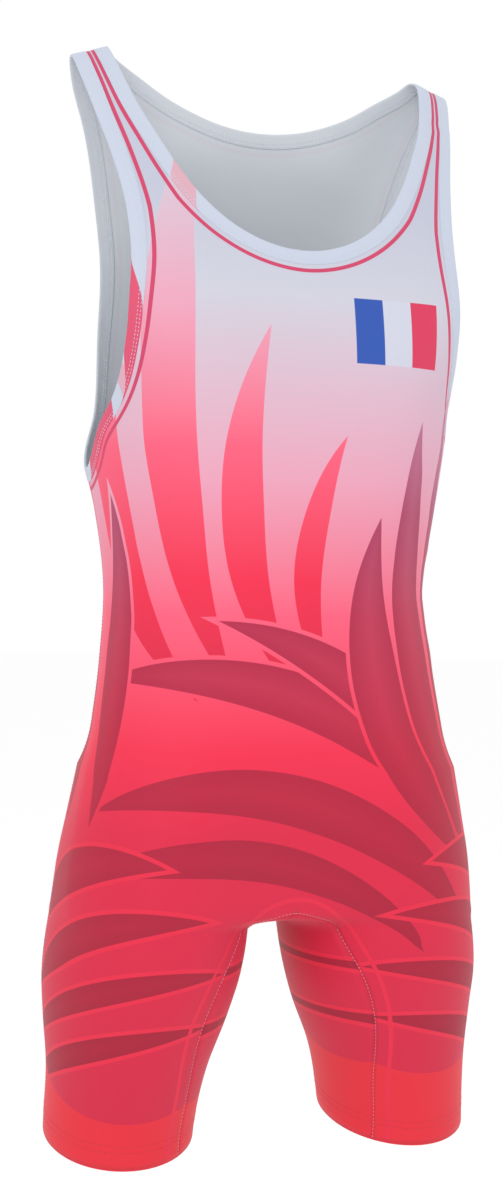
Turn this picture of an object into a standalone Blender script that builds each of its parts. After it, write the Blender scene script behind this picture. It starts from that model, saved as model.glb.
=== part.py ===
"""Wrestling singlet, worn shape with no wearer, in metres with +Z up and the chest towards -Y.

The origin lies midway between the two shoulders, at the height where the straps rest on them.
The cloth is skin tight, so its inner face is the outline of a plain figure: a body with rounded
shoulders that runs into two legs. The neckline, armholes, inseam and side seams are curves on that
figure. Each panel is a sheet of rows between two of those curves, given its wall by Solidify. Its
legs are cut off across the thigh into sheets of their own, which leaves each sheet a simple form.
"""
import math

import bpy
import numpy as np

# Walls and widths of the sewn pieces
CLOTH = 0.0012              # one layer of sublimation-printed stretch knit
BAND_CLOTH = 0.0024         # a band is a strip folded double
BAND_SINK = 0.0006          # how far a band reaches inside the face of the panel
BAND_WIDTH = 0.0120
SEAM_GAP = 0.0003           # clear space left where two pieces are sewn together
HEM_DEPTH = 0.0200          # cloth turned up inside each leg end
HEM_CLEAR = 0.0004          # from the panels to the turned-up cloth

# The figure: shoulders
STRAP_X = 0.142             # middle of a strap on the shoulder, from the centre line
SHOULDER_SLOPE = 0.38       # fall of the shoulder towards the arm
SHOULDER_ROUND = 0.080      # half width of the level stretch between the shoulders
SHOULDER_FADE = 0.260       # height over which the slope dies out below the shoulder
NAPE_WIDTH = 0.118          # half width of the hollow below the back of the neck
SHOULDER_SEAM_Y = 0.020     # the shoulder seam lies this far behind the top of the shoulder

# The figure: where body and legs run together
HIP_BLEND = 0.036
CROTCH_BLEND = 0.016
ROUNDING = 0.020            # keeps the distance to the figure steady at its crests

# Level cuts through the body. Depths are from the middle to the front and to the back, a
# negative one lies beyond the end of the body, and nape is the share of the back that is hollow.
BODY_COLUMNS = ("height", "middle_y", "half_width", "front", "back", "squareness", "nape")
BODY_ROWS = (
    (0.030, 0.024, 0.178, -0.030, -0.020, 6.0, 0.90),
    (0.000, 0.024, 0.178, 0.000, 0.000, 6.0, 0.90),
    (-0.022, 0.023, 0.178, 0.0270, 0.0140, 6.0, 0.90),
    (-0.056, 0.020, 0.177, 0.0450, 0.0280, 6.5, 0.90),
    (-0.088, 0.017, 0.175, 0.0580, 0.0420, 7.0, 0.86),
    (-0.123, 0.013, 0.171, 0.0710, 0.0580, 7.5, 0.62),
    (-0.158, 0.009, 0.166, 0.0830, 0.0720, 7.5, 0.34),
    (-0.198, 0.005, 0.159, 0.0960, 0.0870, 6.5, 0.10),
    (-0.236, 0.004, 0.152, 0.1040, 0.0960, 5.0, 0.00),
    (-0.276, 0.008, 0.1455, 0.1110, 0.0950, 3.8, 0.00),
    (-0.310, 0.009, 0.1445, 0.1130, 0.0940, 3.2, 0.00),
    (-0.358, 0.001, 0.1355, 0.1060, 0.0950, 2.8, 0.00),
    (-0.418, -0.002, 0.128, 0.0960, 0.0920, 2.6, 0.00),
    (-0.478, -0.016, 0.133, 0.0830, 0.1040, 2.5, 0.00),
    (-0.550, -0.027, 0.143, 0.0770, 0.1270, 2.4, 0.00),
    (-0.598, -0.028, 0.148, 0.0720, 0.1350, 2.4, 0.00),
    (-0.636, -0.026, 0.150, 0.0680, 0.1190, 2.4, 0.00),
    (-0.656, -0.023, 0.145, 0.0680, 0.0900, 2.4, 0.00),
    (-0.668, -0.020, 0.139, 0.0600, 0.0620, 2.4, 0.00),
    (-0.676, -0.016, 0.132, 0.0000, 0.0000, 2.4, 0.00),
    (-0.715, -0.014, 0.126, -0.0900, -0.0900, 2.4, 0.00),
)

# Level cuts through one leg, each an oval about its own middle
LEG_COLUMNS = ("height", "middle_x", "middle_y", "half_width", "half_depth")
LEG_ROWS = (
    (-0.558, 0.078, -0.014, 0.056, 0.080),
    (-0.618, 0.087, -0.012, 0.066, 0.091),
    (-0.678, 0.0935, -0.011, 0.0750, 0.094),
    (-0.718, 0.0985, -0.011, 0.0745, 0.088),
    (-0.748, 0.102, -0.009, 0.0695, 0.081),
    (-0.788, 0.108, -0.009, 0.0605, 0.071),
    (-0.828, 0.1125, -0.007, 0.0570, 0.064),
    (-0.888, 0.115, -0.006, 0.0565, 0.062),
)

# Edges and seams of the left half, through points beside the figure that are then laid on it
NECKLINE = (
    (0.000, -0.082, -0.1655),
    (0.0289, -0.0795, -0.1605),
    (0.0547, -0.0735, -0.1467),
    (0.0758, -0.0643, -0.1263),
    (0.0919, -0.0525, -0.1017),
    (0.1051, -0.0386, -0.0755),
    (0.1170, -0.0234, -0.0486),
    (0.1260, -0.0040, -0.0180),
    (0.1300, 0.0180, 0.003),
    (0.1225, 0.0275, -0.001),
    (0.0990, 0.0283, -0.016),
    (0.0700, 0.0276, -0.032),
    (0.0350, 0.0290, -0.044),
    (0.000, 0.0300, -0.048),
)
ARMHOLE = (
    (0.1450, 0.014, -0.328),
    (0.1440, -0.008, -0.319),
    (0.1420, -0.0235, -0.299),
    (0.1360, -0.0470, -0.276),
    (0.1330, -0.0660, -0.246),
    (0.1325, -0.0752, -0.213),
    (0.1315, -0.0740, -0.176),
    (0.1325, -0.0590, -0.136),
    (0.1390, -0.0391, -0.096),
    (0.1488, -0.0178, -0.056),
    (0.1550, 0.000, -0.028),
    (0.1590, 0.024, -0.006),
    (0.1550, 0.036, -0.026),
    (0.1410, 0.047, -0.063),
    (0.1300, 0.062, -0.108),
    (0.1210, 0.075, -0.158),
    (0.1190, 0.084, -0.208),
    (0.1230, 0.085, -0.250),
    (0.1310, 0.071, -0.288),
    (0.1410, 0.042, -0.319),
)
INSEAM = (
    (0.0000, -0.091, -0.665),
    (0.0180, -0.087, -0.668),
    (0.0360, -0.079, -0.679),
    (0.0490, -0.080, -0.694),
    (0.0590, -0.085, -0.715),
    (0.0665, -0.084, -0.738),
    (0.0715, -0.078, -0.765),
    (0.0752, -0.0655, -0.800),
    (0.0790, -0.058, -0.840),
    (0.0790, -0.052, -0.878),
)
SIDE_SEAM_Y = -0.003        # the side seam at the leg's end; it starts under the armhole

# Where the lines that the rows turn about, and the side seam, pass from the legs to the body
LEG_TOP = -0.690
TURN_FADE = 0.160           # height over which the rows' lines come together
SIDE_FADE = 0.100           # height over which the side seam passes on to the body

# Leg ends: a slanting cut, lowest in front and on the outer side
HEM_HEIGHT = -0.8405         # at the middle of the leg
HEM_RISE_INWARD = 0.020     # rise per metre towards the other leg
HEM_RISE_BACK = 0.200       # rise per metre towards the back
HEM_REACH = 0.200           # height above the hem over which rows turn level

# How finely the sheets are divided
CURVE_STEP = 0.002          # spacing of the points that a curve is worked out at
RELAX_PASSES = 40           # how often the rows under the crotch are evened out
LONGEST_STEP = 0.008        # longest move in one pass when a point is laid on the figure
PANEL_COLUMNS = 12          # cells across half of a panel
LEG_STEPS = 9
BODY_STEPS = 16
CHEST_STEPS = 9
STRAP_STEPS = 18
SEAT_STEPS = 8
BACK_STEPS = 12
BACK_CHEST_STEPS = 13
BACK_STRAP_STEPS = 11
LEG_CUT_ROW = 7             # the row across the thigh where a leg's sheet ends
FIRST_RELAXED_ROW = 4       # rows of the back that are evened out, up to some above the seat
RELAXED_ABOVE_SEAT = 5

# Where the rows meet the outer edge of a panel
SIDE_AT_CROTCH = -0.682     # on the side seam, level with the top of the inseam
SIDE_UNDER_SEAT = -0.745    # on the side seam, where the back's rows leave the inseam
SEAT_TOP = -0.598           # where the back's rows are level again
ARM_AT_NECK = -0.198        # on the armhole, across from the lowest point of the neckline
ARM_AT_NAPE = -0.118        # on the armhole, across from the back of the neck

WHITE = (0.78, 0.78, 0.86, 1)
PINK = (0.86, 0.30, 0.42, 1)
RED = (0.74, 0.06, 0.11, 1)


class Table:
    """Rows of named columns, read at any height along a smooth curve through the rows."""

    def __init__(self, names, rows):
        data = np.array(sorted(rows))
        self.heights = data[:, 0]
        self.columns = dict(zip(names[1:], data[:, 1:].T))

    def at(self, name, height, squared=False):
        """One column at some heights, held level beyond the end rows, or its signed square."""
        knots, values = self.heights, self.columns[name]
        if squared:
            values = values * np.abs(values)
        slopes = np.gradient(values, knots)
        place = np.clip(height, knots[0], knots[-1])
        low = np.clip(np.searchsorted(knots, place) - 1, 0, len(knots) - 2)
        step = knots[low + 1] - knots[low]
        t = (place - knots[low]) / step
        across = values[low] * (1 + 2 * t) * (1 - t) ** 2 + values[low + 1] * t * t * (3 - 2 * t)
        return across + step * t * (1 - t) * (slopes[low] * (1 - t) - slopes[low + 1] * t)


BODY = Table(BODY_COLUMNS, BODY_ROWS)
LEG = Table(LEG_COLUMNS, LEG_ROWS)


def smooth_step(value):
    """0 below 0 and 1 above 1, with no corner between."""
    share = np.clip(value, 0, 1)
    return share * share * (3 - 2 * share)


def rounded_join(first, second, reach):
    """The smaller of two distances, with the crease between them filled over a reach."""
    near = np.maximum(reach - np.abs(first - second), 0) / reach
    return np.minimum(first, second) - near ** 2 * reach / 4


def from_section(x, y, half_width, depth_squared, squareness):
    """Distance outside the level cut y = depth * sqrt(1 - |x / half_width| ** squareness)."""
    reach = np.abs(x) / half_width
    beyond = np.where(depth_squared < 0, -1.0, 1.0)
    level = y * y - depth_squared * (1 - beyond * reach ** squareness)
    slope_x = depth_squared * squareness * reach ** (squareness - 1) / half_width / 2
    distance = level / (2 * np.sqrt(y * y + slope_x ** 2 + ROUNDING ** 2))
    return np.maximum(distance, np.abs(x) - half_width)


def from_body(x, y, z):
    """Distance outside the body, whose shoulders fall away towards the arms."""
    fall = SHOULDER_SLOPE * (np.hypot(x, SHOULDER_ROUND) - math.hypot(STRAP_X, SHOULDER_ROUND))
    height = z + fall * smooth_step(1 + z / SHOULDER_FADE)
    y = y - BODY.at("middle_y", height)
    hollow = BODY.at("nape", height) * np.exp(-(x / NAPE_WIDTH) ** 6)
    back = BODY.at("back", height, squared=True) * (1 - hollow)
    front = BODY.at("front", height, squared=True)
    depth_squared = np.where(y < 0, front, back)
    return from_section(x, y, BODY.at("half_width", height), depth_squared,
                        BODY.at("squareness", height))


def from_leg(x, y, z):
    """Distance outside the left leg, at +X, which stops inside the hips."""
    section = from_section(x - LEG.at("middle_x", z), y - LEG.at("middle_y", z),
                           LEG.at("half_width", z), LEG.at("half_depth", z, squared=True), 2.0)
    return section + np.maximum(z - LEG.heights[-1], 0)


def from_figure(points):
    """Distance outside the whole figure, for an array of points."""
    x, y, z = points[..., 0], points[..., 1], points[..., 2]
    legs = rounded_join(from_leg(x, y, z), from_leg(-x, y, z), CROTCH_BLEND)
    return rounded_join(from_body(x, y, z), legs, HIP_BLEND)


def slope_of_figure(points):
    """How the distance to the figure changes along X, Y and Z."""
    nudge = 1e-5
    steps = np.eye(3) * nudge
    return np.stack([(from_figure(points + s) - from_figure(points - s)) / (2 * nudge)
                     for s in steps], axis=-1)


def laid_on(points, passes=16):
    """Points moved straight onto the figure, by no more than LONGEST_STEP in each pass."""
    points = np.array(points, float)
    for _ in range(passes):
        slope = slope_of_figure(points)
        steepness = np.linalg.norm(slope, axis=-1, keepdims=True)
        step = from_figure(points)[..., None] / np.maximum(steepness, 0.1)
        points -= np.clip(step, -LONGEST_STEP, LONGEST_STEP) * slope / np.maximum(steepness, 1e-6)
    return points


def outward(points):
    """Unit directions straight out of the figure."""
    slope = slope_of_figure(points)
    return slope / np.linalg.norm(slope, axis=-1, keepdims=True)


def lengths_along(curve):
    """Running length at each point of a curve, from 0."""
    steps = np.linalg.norm(np.diff(curve, axis=0), axis=1)
    return np.concatenate([[0.0], np.cumsum(steps)])


def spread(curve, count):
    """A curve's points spaced evenly, one more than count."""
    run = lengths_along(curve)
    places = np.linspace(0, run[-1], count + 1)
    return np.stack([np.interp(places, run, curve[:, axis]) for axis in range(3)], axis=1)


def through(points, closed=False):
    """A smooth curve through a table's points, laid on the figure."""
    points = np.array(points, float)
    if closed:
        padded = np.vstack([points[-1:], points, points[:2]])
    else:
        mirror = np.array([-1.0, 1.0, 1.0])
        first = points[1] * mirror if points[0, 0] == 0 else 2 * points[0] - points[1]
        last = points[-2] * mirror if points[-1, 0] == 0 else 2 * points[-1] - points[-2]
        padded = np.vstack([first, points, last])
    pieces = []
    for before, start, end, after in zip(padded, padded[1:], padded[2:], padded[3:]):
        count = max(2, round(np.linalg.norm(end - start) / CURVE_STEP))
        t = np.linspace(0, 1, count, endpoint=False)[:, None]
        pieces.append(0.5 * (2 * start + (end - before) * t
                             + (2 * before - 5 * start + 4 * end - after) * t ** 2
                             + (3 * start - before - 3 * end + after) * t ** 3))
    curve = np.vstack(pieces + [padded[-2:-1]])
    return laid_on(curve)


def beside(curve, distance, closed=False):
    """The curve that runs beside another on the figure, to its left seen from outside."""
    for _ in range(4):
        if closed:
            ahead = np.roll(curve[:-1], -1, axis=0) - np.roll(curve[:-1], 1, axis=0)
            ahead = np.vstack([ahead, ahead[:1]])
        else:
            ahead = np.gradient(curve, axis=0)
            for end in (0, -1):
                if abs(curve[end, 0]) < 1e-6:
                    ahead[end] = (1, 0, 0) if ahead[end, 0] > 0 else (-1, 0, 0)
        side = np.cross(outward(curve), ahead)
        side /= np.linalg.norm(side, axis=1, keepdims=True)
        curve = laid_on(curve + side * distance / 4, passes=4)
    return curve


def marks(curve, start, end, steps):
    """Places in a curve spaced evenly between two of its points."""
    run = lengths_along(curve)
    wanted = np.linspace(run[start], run[end], steps + 1)
    return [int(np.argmin(np.abs(run - place))) for place in wanted]


def nearest(curve, axis, value, first, last):
    """Place in a curve, between two others, where one coordinate comes nearest to a value."""
    return first + int(np.argmin(np.abs(curve[first:last, axis] - value)))


def pulled_back(points, distance):
    """The same points, or rows of points, with the last drawn back towards the one before."""
    points = points.copy()
    step = points[-1] - points[-2]
    points[-1] -= step * distance / np.linalg.norm(step, axis=-1, keepdims=True)
    return points


def hem_height(points):
    """Height of the slanting cut at the left leg's end above or below some points."""
    middle_x, middle_y = LEG.at("middle_x", HEM_HEIGHT), LEG.at("middle_y", HEM_HEIGHT)
    return (HEM_HEIGHT - HEM_RISE_INWARD * (points[..., 0] - middle_x)
            + HEM_RISE_BACK * (points[..., 1] - middle_y))


def cross_rows(starts, ends, middles, hem_shares, behind, count):
    """Evenly spaced points on the figure from one seam to the other, each row round its own
    upright line, level at the ends of the body and along the slant of the hem at the legs."""
    first = np.arctan2(starts[:, 1] - middles[:, 1], starts[:, 0] - middles[:, 0])
    last = np.arctan2(ends[:, 1] - middles[:, 1], ends[:, 0] - middles[:, 0])
    if behind:
        first = np.where(first < 0, first + 2 * math.pi, first)
    share = np.linspace(0, 1, count * 3 + 1)[None, :]

    def between(start, end):
        return start[:, None] * (1 - share) + end[:, None] * share

    angle = between(first, last)
    radius = between(np.hypot(*(starts - middles)[:, :2].T), np.hypot(*(ends - middles)[:, :2].T))
    height = between(starts[:, 2], ends[:, 2])
    hem_ends = between(hem_height(starts), hem_height(ends))
    rows = np.stack([middles[:, :1] + radius * np.cos(angle),
                     middles[:, 1:2] + radius * np.sin(angle), height], axis=2)
    for _ in range(4):
        rows[:, 1:-1] = laid_on(rows[:, 1:-1], passes=6)
        rows = np.array([spread(row, rows.shape[1] - 1) for row in rows])
        rows[..., 2] = height + hem_shares[:, None] * (hem_height(rows) - hem_ends)
        rows[:, 0], rows[:, -1] = starts, ends
    rows[:, 1:-1] = laid_on(rows[:, 1:-1], passes=8)
    return np.array([spread(row, count) for row in rows])


def relaxed(rows, first, last):
    """Rows with the points between two of them evened out both ways over the figure."""
    window = rows[first:last + 1]
    for _ in range(RELAX_PASSES):
        window[1:-1, 1:-1] = laid_on((window[:-2, 1:-1] + window[2:, 1:-1]
                                      + window[1:-1, :-2] + window[1:-1, 2:]) / 4, passes=2)
    return rows


def turning_lines(starts, ends):
    """Where the upright line stands that a row turns about: in the leg, or in the body."""
    height = (starts[:, 2] + ends[:, 2]) / 2
    share = smooth_step((height - LEG_TOP) / TURN_FADE)
    middle_y = LEG.at("middle_y", height) * (1 - share) + BODY.at("middle_y", height) * share
    return np.stack([LEG.at("middle_x", height) * (1 - share), middle_y, 0 * height], axis=1)


def sheet_rows(stretches, behind):
    """Rows of a half panel, from stretches of points on its inner and its outer edge."""
    starts = np.vstack([stretches[0][0]] + [inner[1:] for inner, _ in stretches[1:]])
    ends = np.vstack([stretches[0][1]] + [outer[1:] for _, outer in stretches[1:]])
    clear = np.minimum(starts[:, 2], ends[:, 2]) - HEM_HEIGHT
    hem_shares = 1 - smooth_step(clear / HEM_REACH)
    return cross_rows(starts, ends, turning_lines(starts, ends), hem_shares, behind, PANEL_COLUMNS)


def down_to_hem(curve, rise=0.0):
    """A curve that comes down a leg, ended at the slanting cut or a little above it."""
    clear = curve[:, 2] - hem_height(curve) - rise
    last = int(np.argmax(clear < 0))
    share = clear[last - 1] / (clear[last - 1] - clear[last])
    end = curve[last - 1] + (curve[last] - curve[last - 1]) * share
    return laid_on(np.vstack([curve[:last], end]))


def centre_line(bottom, top, side):
    """The line up the middle of the front or the back, between two heights."""
    count = round((top - bottom) / CURVE_STEP)
    heights = np.linspace(bottom, top, count + 1)
    line = np.stack([0 * heights, 0 * heights + side * 0.1, heights], axis=1)
    for _ in range(8):
        line = laid_on(line, passes=4)
        line[:, 2] = heights
    return line


def line_under_crotch(start, top):
    """The middle line from the top of the inseam under the crotch and up to a height behind."""
    pivot = np.array([0.0, 0.0, top])
    first = math.atan2(start[2] - pivot[2], start[1])
    angles = np.linspace(first, 0, 60)
    reach = np.linalg.norm(start - pivot)
    line = np.stack([0 * angles, reach * np.cos(angles), top + reach * np.sin(angles)], axis=1)
    line = laid_on(line)
    line[0] = start
    return line


def side_line(start):
    """The side seam, from the bottom of the armhole past the leg's end."""
    heights = np.linspace(start[2], HEM_HEIGHT - 0.04, 260)
    over_hip = smooth_step((heights - LEG_TOP) / SIDE_FADE)
    leg = LEG.at("middle_x", heights) + LEG.at("half_width", heights)
    across = leg + (BODY.at("half_width", heights) - leg) * over_hip
    behind = np.linspace(start[1], SIDE_SEAM_Y, len(heights))
    line = laid_on(np.stack([across, behind, heights], axis=1))
    line[0] = start
    return line


def curves_of_the_cut():
    """Every edge and seam that the sheets are hung between, for the left half."""
    neck_edge = through(NECKLINE)
    neck_panel = beside(neck_edge, -BAND_WIDTH - SEAM_GAP)
    arm_edge = through(ARMHOLE, closed=True)
    arm_panel = beside(arm_edge, BAND_WIDTH + SEAM_GAP, closed=True)
    inseam = through(INSEAM)
    side = side_line(arm_panel[0])
    return {"neck_edge": neck_edge, "neck_band": beside(neck_edge, -BAND_WIDTH),
            "neck_panel": neck_panel, "arm_edge": arm_edge,
            "arm_band": beside(arm_edge, BAND_WIDTH, closed=True), "arm_panel": arm_panel,
            "inseam_front": beside(inseam, SEAM_GAP / 2), "inseam_back": beside(inseam, -SEAM_GAP / 2),
            "side_front": beside(side, -SEAM_GAP / 2), "side_back": beside(side, SEAM_GAP / 2)}


def leg_stretches(inseam, side, side_top, steps):
    """Inner and outer points of a panel's rows from the leg's end up to the crotch."""
    low_in, low_out = down_to_hem(inseam)[-1:], down_to_hem(side)[-1:]
    above_in, above_out = down_to_hem(inseam, HEM_DEPTH)[::-1], down_to_hem(side, HEM_DEPTH)[::-1]
    up_to = nearest(above_out, 2, side_top, 0, None)
    return [(np.vstack([low_in, above_in[:1]]), np.vstack([low_out, above_out[:1]])),
            (spread(above_in, steps), spread(above_out[:up_to + 1], steps))], above_out[up_to:]


def front_half(cut):
    """Rows of the left half of the front, and its marks along the neckline and the armhole."""
    neck, arm = cut["neck_panel"], cut["arm_panel"]
    ridge_neck, ridge_arm = int(np.argmax(neck[:, 2])), int(np.argmax(arm[:, 2]))
    neck_seam = nearest(neck, 1, SHOULDER_SEAM_Y, ridge_neck, ridge_neck + 20)
    arm_seam = nearest(arm, 1, SHOULDER_SEAM_Y, ridge_arm, ridge_arm + 20)
    arm_level = nearest(arm, 2, ARM_AT_NECK, 0, ridge_arm)
    legs, side = leg_stretches(cut["inseam_front"], cut["side_front"], SIDE_AT_CROTCH, LEG_STEPS)
    middle = centre_line(cut["inseam_front"][0, 2], neck[0, 2], -1)
    chest = nearest(middle, 2, side[-1, 2], 0, None)
    arm_marks = (marks(arm, 0, arm_level, CHEST_STEPS)
                 + marks(arm, arm_level, arm_seam, STRAP_STEPS)[1:])
    neck_marks = marks(neck, 0, neck_seam, STRAP_STEPS)
    beside_arm = np.vstack([side[-1:], arm[arm_marks[1:]]])
    stretches = legs + [
        (spread(middle[:chest + 1], BODY_STEPS), spread(side, BODY_STEPS)),
        (spread(middle[chest:], CHEST_STEPS), beside_arm[:CHEST_STEPS + 1]),
        (pulled_back(neck[neck_marks], SEAM_GAP / 2),
         pulled_back(beside_arm[CHEST_STEPS:], SEAM_GAP / 2))]
    return sheet_rows(stretches, behind=False), neck_marks, arm_marks


def back_half(cut, neck_seam, arm_seam):
    """Rows of the left half of the back, with the same marks, from the shoulder seams down."""
    neck, arm = cut["neck_panel"], cut["arm_panel"]
    nape, under_arm = len(neck) - 1, len(arm) - 1
    arm_level = nearest(arm, 2, ARM_AT_NAPE, arm_seam, under_arm)
    legs, side = leg_stretches(cut["inseam_back"], cut["side_back"], SIDE_UNDER_SEAT, LEG_STEPS)
    under = line_under_crotch(cut["inseam_back"][0], SEAT_TOP)
    middle = centre_line(SEAT_TOP, neck[-1, 2], 1)
    seat = nearest(side, 2, SEAT_TOP, 0, None)
    chest = nearest(middle, 2, side[-1, 2], 0, None)
    arm_marks = (marks(arm, arm_seam, arm_level, BACK_STRAP_STEPS)
                 + marks(arm, arm_level, under_arm, BACK_CHEST_STEPS)[1:])
    neck_marks = marks(neck, neck_seam, nape, BACK_STRAP_STEPS)
    beside_arm = np.vstack([side[-1:], arm[arm_marks[::-1][1:]]])
    stretches = legs + [
        (spread(under, SEAT_STEPS), spread(side[:seat + 1], SEAT_STEPS)),
        (spread(middle[:chest + 1], BACK_STEPS), spread(side[seat:], BACK_STEPS)),
        (spread(middle[chest:], BACK_CHEST_STEPS), beside_arm[:BACK_CHEST_STEPS + 1]),
        (pulled_back(neck[neck_marks[::-1]], SEAM_GAP / 2),
         pulled_back(beside_arm[BACK_CHEST_STEPS:], SEAM_GAP / 2))]
    rows = relaxed(sheet_rows(stretches, behind=True), FIRST_RELAXED_ROW,
                   LEG_STEPS + SEAT_STEPS + RELAXED_ABOVE_SEAT)
    return rows, neck_marks, arm_marks


def cut_across_the_thigh(rows):
    """A half panel's rows parted into those of the body and those of the leg, a seam gap apart."""
    body = pulled_back(rows[LEG_CUT_ROW:][::-1], SEAM_GAP / 2)[::-1]
    leg = pulled_back(rows[:LEG_CUT_ROW + 1], SEAM_GAP / 2)
    return body, leg


def material(name, colour, roughness):
    """A plain cloth finish."""
    finish = bpy.data.materials.new(name)
    finish.use_nodes = True
    shader = finish.node_tree.nodes["Principled BSDF"]
    shader.inputs["Base Color"].default_value = colour
    shader.inputs["Roughness"].default_value = roughness
    shader.inputs["Metallic"].default_value = 0.0
    return finish


def cloth(name, grid, wall, colour, ring=False, mirror=False):
    """A sheet of cloth over a grid of points on its inner face, with a wall of even thickness."""
    rows, columns = grid.shape[:2]
    corners = grid.reshape(-1, 3)
    turns = rows if ring else rows - 1
    faces = [(r * columns + c, r * columns + c + 1,
              (r + 1) % rows * columns + c + 1, (r + 1) % rows * columns + c)
             for r in range(turns) for c in range(columns - 1)]
    first = [corners[place] for place in faces[len(faces) // 2]]
    facing = np.cross(first[1] - first[0], first[3] - first[0])
    if np.dot(facing, outward(first[0])) < 0:
        faces = [face[::-1] for face in faces]
    mesh = bpy.data.meshes.new(name)
    mesh.from_pydata([tuple(corner) for corner in corners], [], faces)
    mesh.materials.append(material(name, colour, 0.62))
    mesh.shade_smooth()
    piece = bpy.data.objects.new(name, mesh)
    garment.objects.link(piece)
    if mirror:
        halves = piece.modifiers.new("other half", "MIRROR")
        halves.merge_threshold = 0.0001
    skin = piece.modifiers.new("wall", "SOLIDIFY")
    skin.thickness = wall
    skin.offset = 1
    skin.use_even_offset = True
    return piece


def to_the_right(grid):
    """The same grid on the other side of the body."""
    return grid * (-1, 1, 1)


def sunk(grid, depth):
    """A grid moved straight into the figure."""
    return grid - outward(grid) * depth


for leftover in list(bpy.data.objects):
    bpy.data.objects.remove(leftover)
garment = bpy.data.collections.new("wrestling_singlet")
bpy.context.scene.collection.children.link(garment)

cut = curves_of_the_cut()
front, front_neck_marks, front_arm_marks = front_half(cut)
back, back_neck_marks, back_arm_marks = back_half(cut, front_neck_marks[-1], front_arm_marks[-1])
for name, rows in (("front", front), ("back", back)):
    body, leg = cut_across_the_thigh(rows)
    cloth(name + "_panel", body, CLOTH, PINK, mirror=True)
    cloth(name + "_leg_left", leg, CLOTH, RED)
    cloth(name + "_leg_right", to_the_right(leg), CLOTH, RED)

neck_marks = front_neck_marks + back_neck_marks[1:]
neck_strip = np.stack([cut["neck_edge"][neck_marks],
                       (cut["neck_edge"][neck_marks] + cut["neck_band"][neck_marks]) / 2,
                       cut["neck_band"][neck_marks]], axis=1)
neck_strip[[0, -1], :, 0] = 0.0
cloth("neck_band", sunk(neck_strip, BAND_SINK), BAND_CLOTH, WHITE, mirror=True)

arm_marks = (front_arm_marks + back_arm_marks[1:])[:-1]
arm_strip = np.stack([cut["arm_edge"][arm_marks],
                      (cut["arm_edge"][arm_marks] + cut["arm_band"][arm_marks]) / 2,
                      cut["arm_band"][arm_marks]], axis=1)
arm_strip = sunk(laid_on(arm_strip), BAND_SINK)
cloth("armhole_band_left", arm_strip, BAND_CLOTH, WHITE, ring=True)
cloth("armhole_band_right", to_the_right(arm_strip), BAND_CLOTH, WHITE, ring=True)

loops = [np.vstack([(front[row, :1] + back[row, :1]) / 2, front[row, 1:-1],
                    (front[row, -1:] + back[row, -1:]) / 2, back[row, -2:0:-1]]) for row in (0, 1)]
hem_strip = sunk(np.stack(loops, axis=1), HEM_CLEAR + CLOTH)
cloth("leg_hem_left", hem_strip, CLOTH, RED, ring=True)
cloth("leg_hem_right", to_the_right(hem_strip), CLOTH, RED, ring=True)
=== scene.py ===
"""Wrestling singlet: the finished garment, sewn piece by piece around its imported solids.

Metres, +Z up, the chest towards -Y, the origin midway between the tops of the two straps.
"""
import math

import bpy
import numpy as np
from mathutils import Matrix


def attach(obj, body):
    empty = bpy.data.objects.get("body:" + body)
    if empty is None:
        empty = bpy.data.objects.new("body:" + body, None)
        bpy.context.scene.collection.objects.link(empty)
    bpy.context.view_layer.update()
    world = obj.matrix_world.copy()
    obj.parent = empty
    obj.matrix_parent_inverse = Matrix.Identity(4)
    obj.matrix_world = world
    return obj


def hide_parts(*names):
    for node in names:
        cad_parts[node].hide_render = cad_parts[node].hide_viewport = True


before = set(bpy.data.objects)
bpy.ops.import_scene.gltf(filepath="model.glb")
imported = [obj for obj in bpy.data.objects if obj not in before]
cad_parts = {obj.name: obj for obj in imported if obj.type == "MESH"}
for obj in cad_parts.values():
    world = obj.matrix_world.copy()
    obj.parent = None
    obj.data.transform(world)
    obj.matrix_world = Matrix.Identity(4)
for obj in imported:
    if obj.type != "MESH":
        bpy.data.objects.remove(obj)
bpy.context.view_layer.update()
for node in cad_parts.values():
    node.select_set(False)

# ---- Front panel -----------------------------------------------------------------------------
# One piece of printed polyester and elastane knit, 1.2 mm thick, from the straps to the leg ends.
# Worn, it is skin tight, so it takes the outline of the figure it was cut for: a body with rounded
# shoulders that runs into two legs, given here by level cuts, with edges and seams laid on it.

CLOTH = 0.0012
BAND_WIDTH = 0.0120
TUCK = 0.0050               # how far a panel's raw edge reaches up inside the folded binding
HEM_DEPTH = 0.0200          # cloth turned up inside each leg end
FOLD_RADIUS = 0.0014        # of the rounded fold along the bottom of a leg

STRAP_X = 0.142             # middle of a strap on the shoulder, from the centre line
SHOULDER_SLOPE = 0.38
SHOULDER_ROUND = 0.080
SHOULDER_FADE = 0.260
NAPE_WIDTH = 0.118
SHOULDER_SEAM_Y = 0.020
HIP_BLEND = 0.036
CROTCH_BLEND = 0.016
ROUNDING = 0.020
LEG_INTO_BODY = -0.690      # where the leg starts to turn into the body, going up
TURN_OVER, SIDE_OVER = 0.16, 0.10       # height over which rows, and the side seam, make the turn

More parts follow.
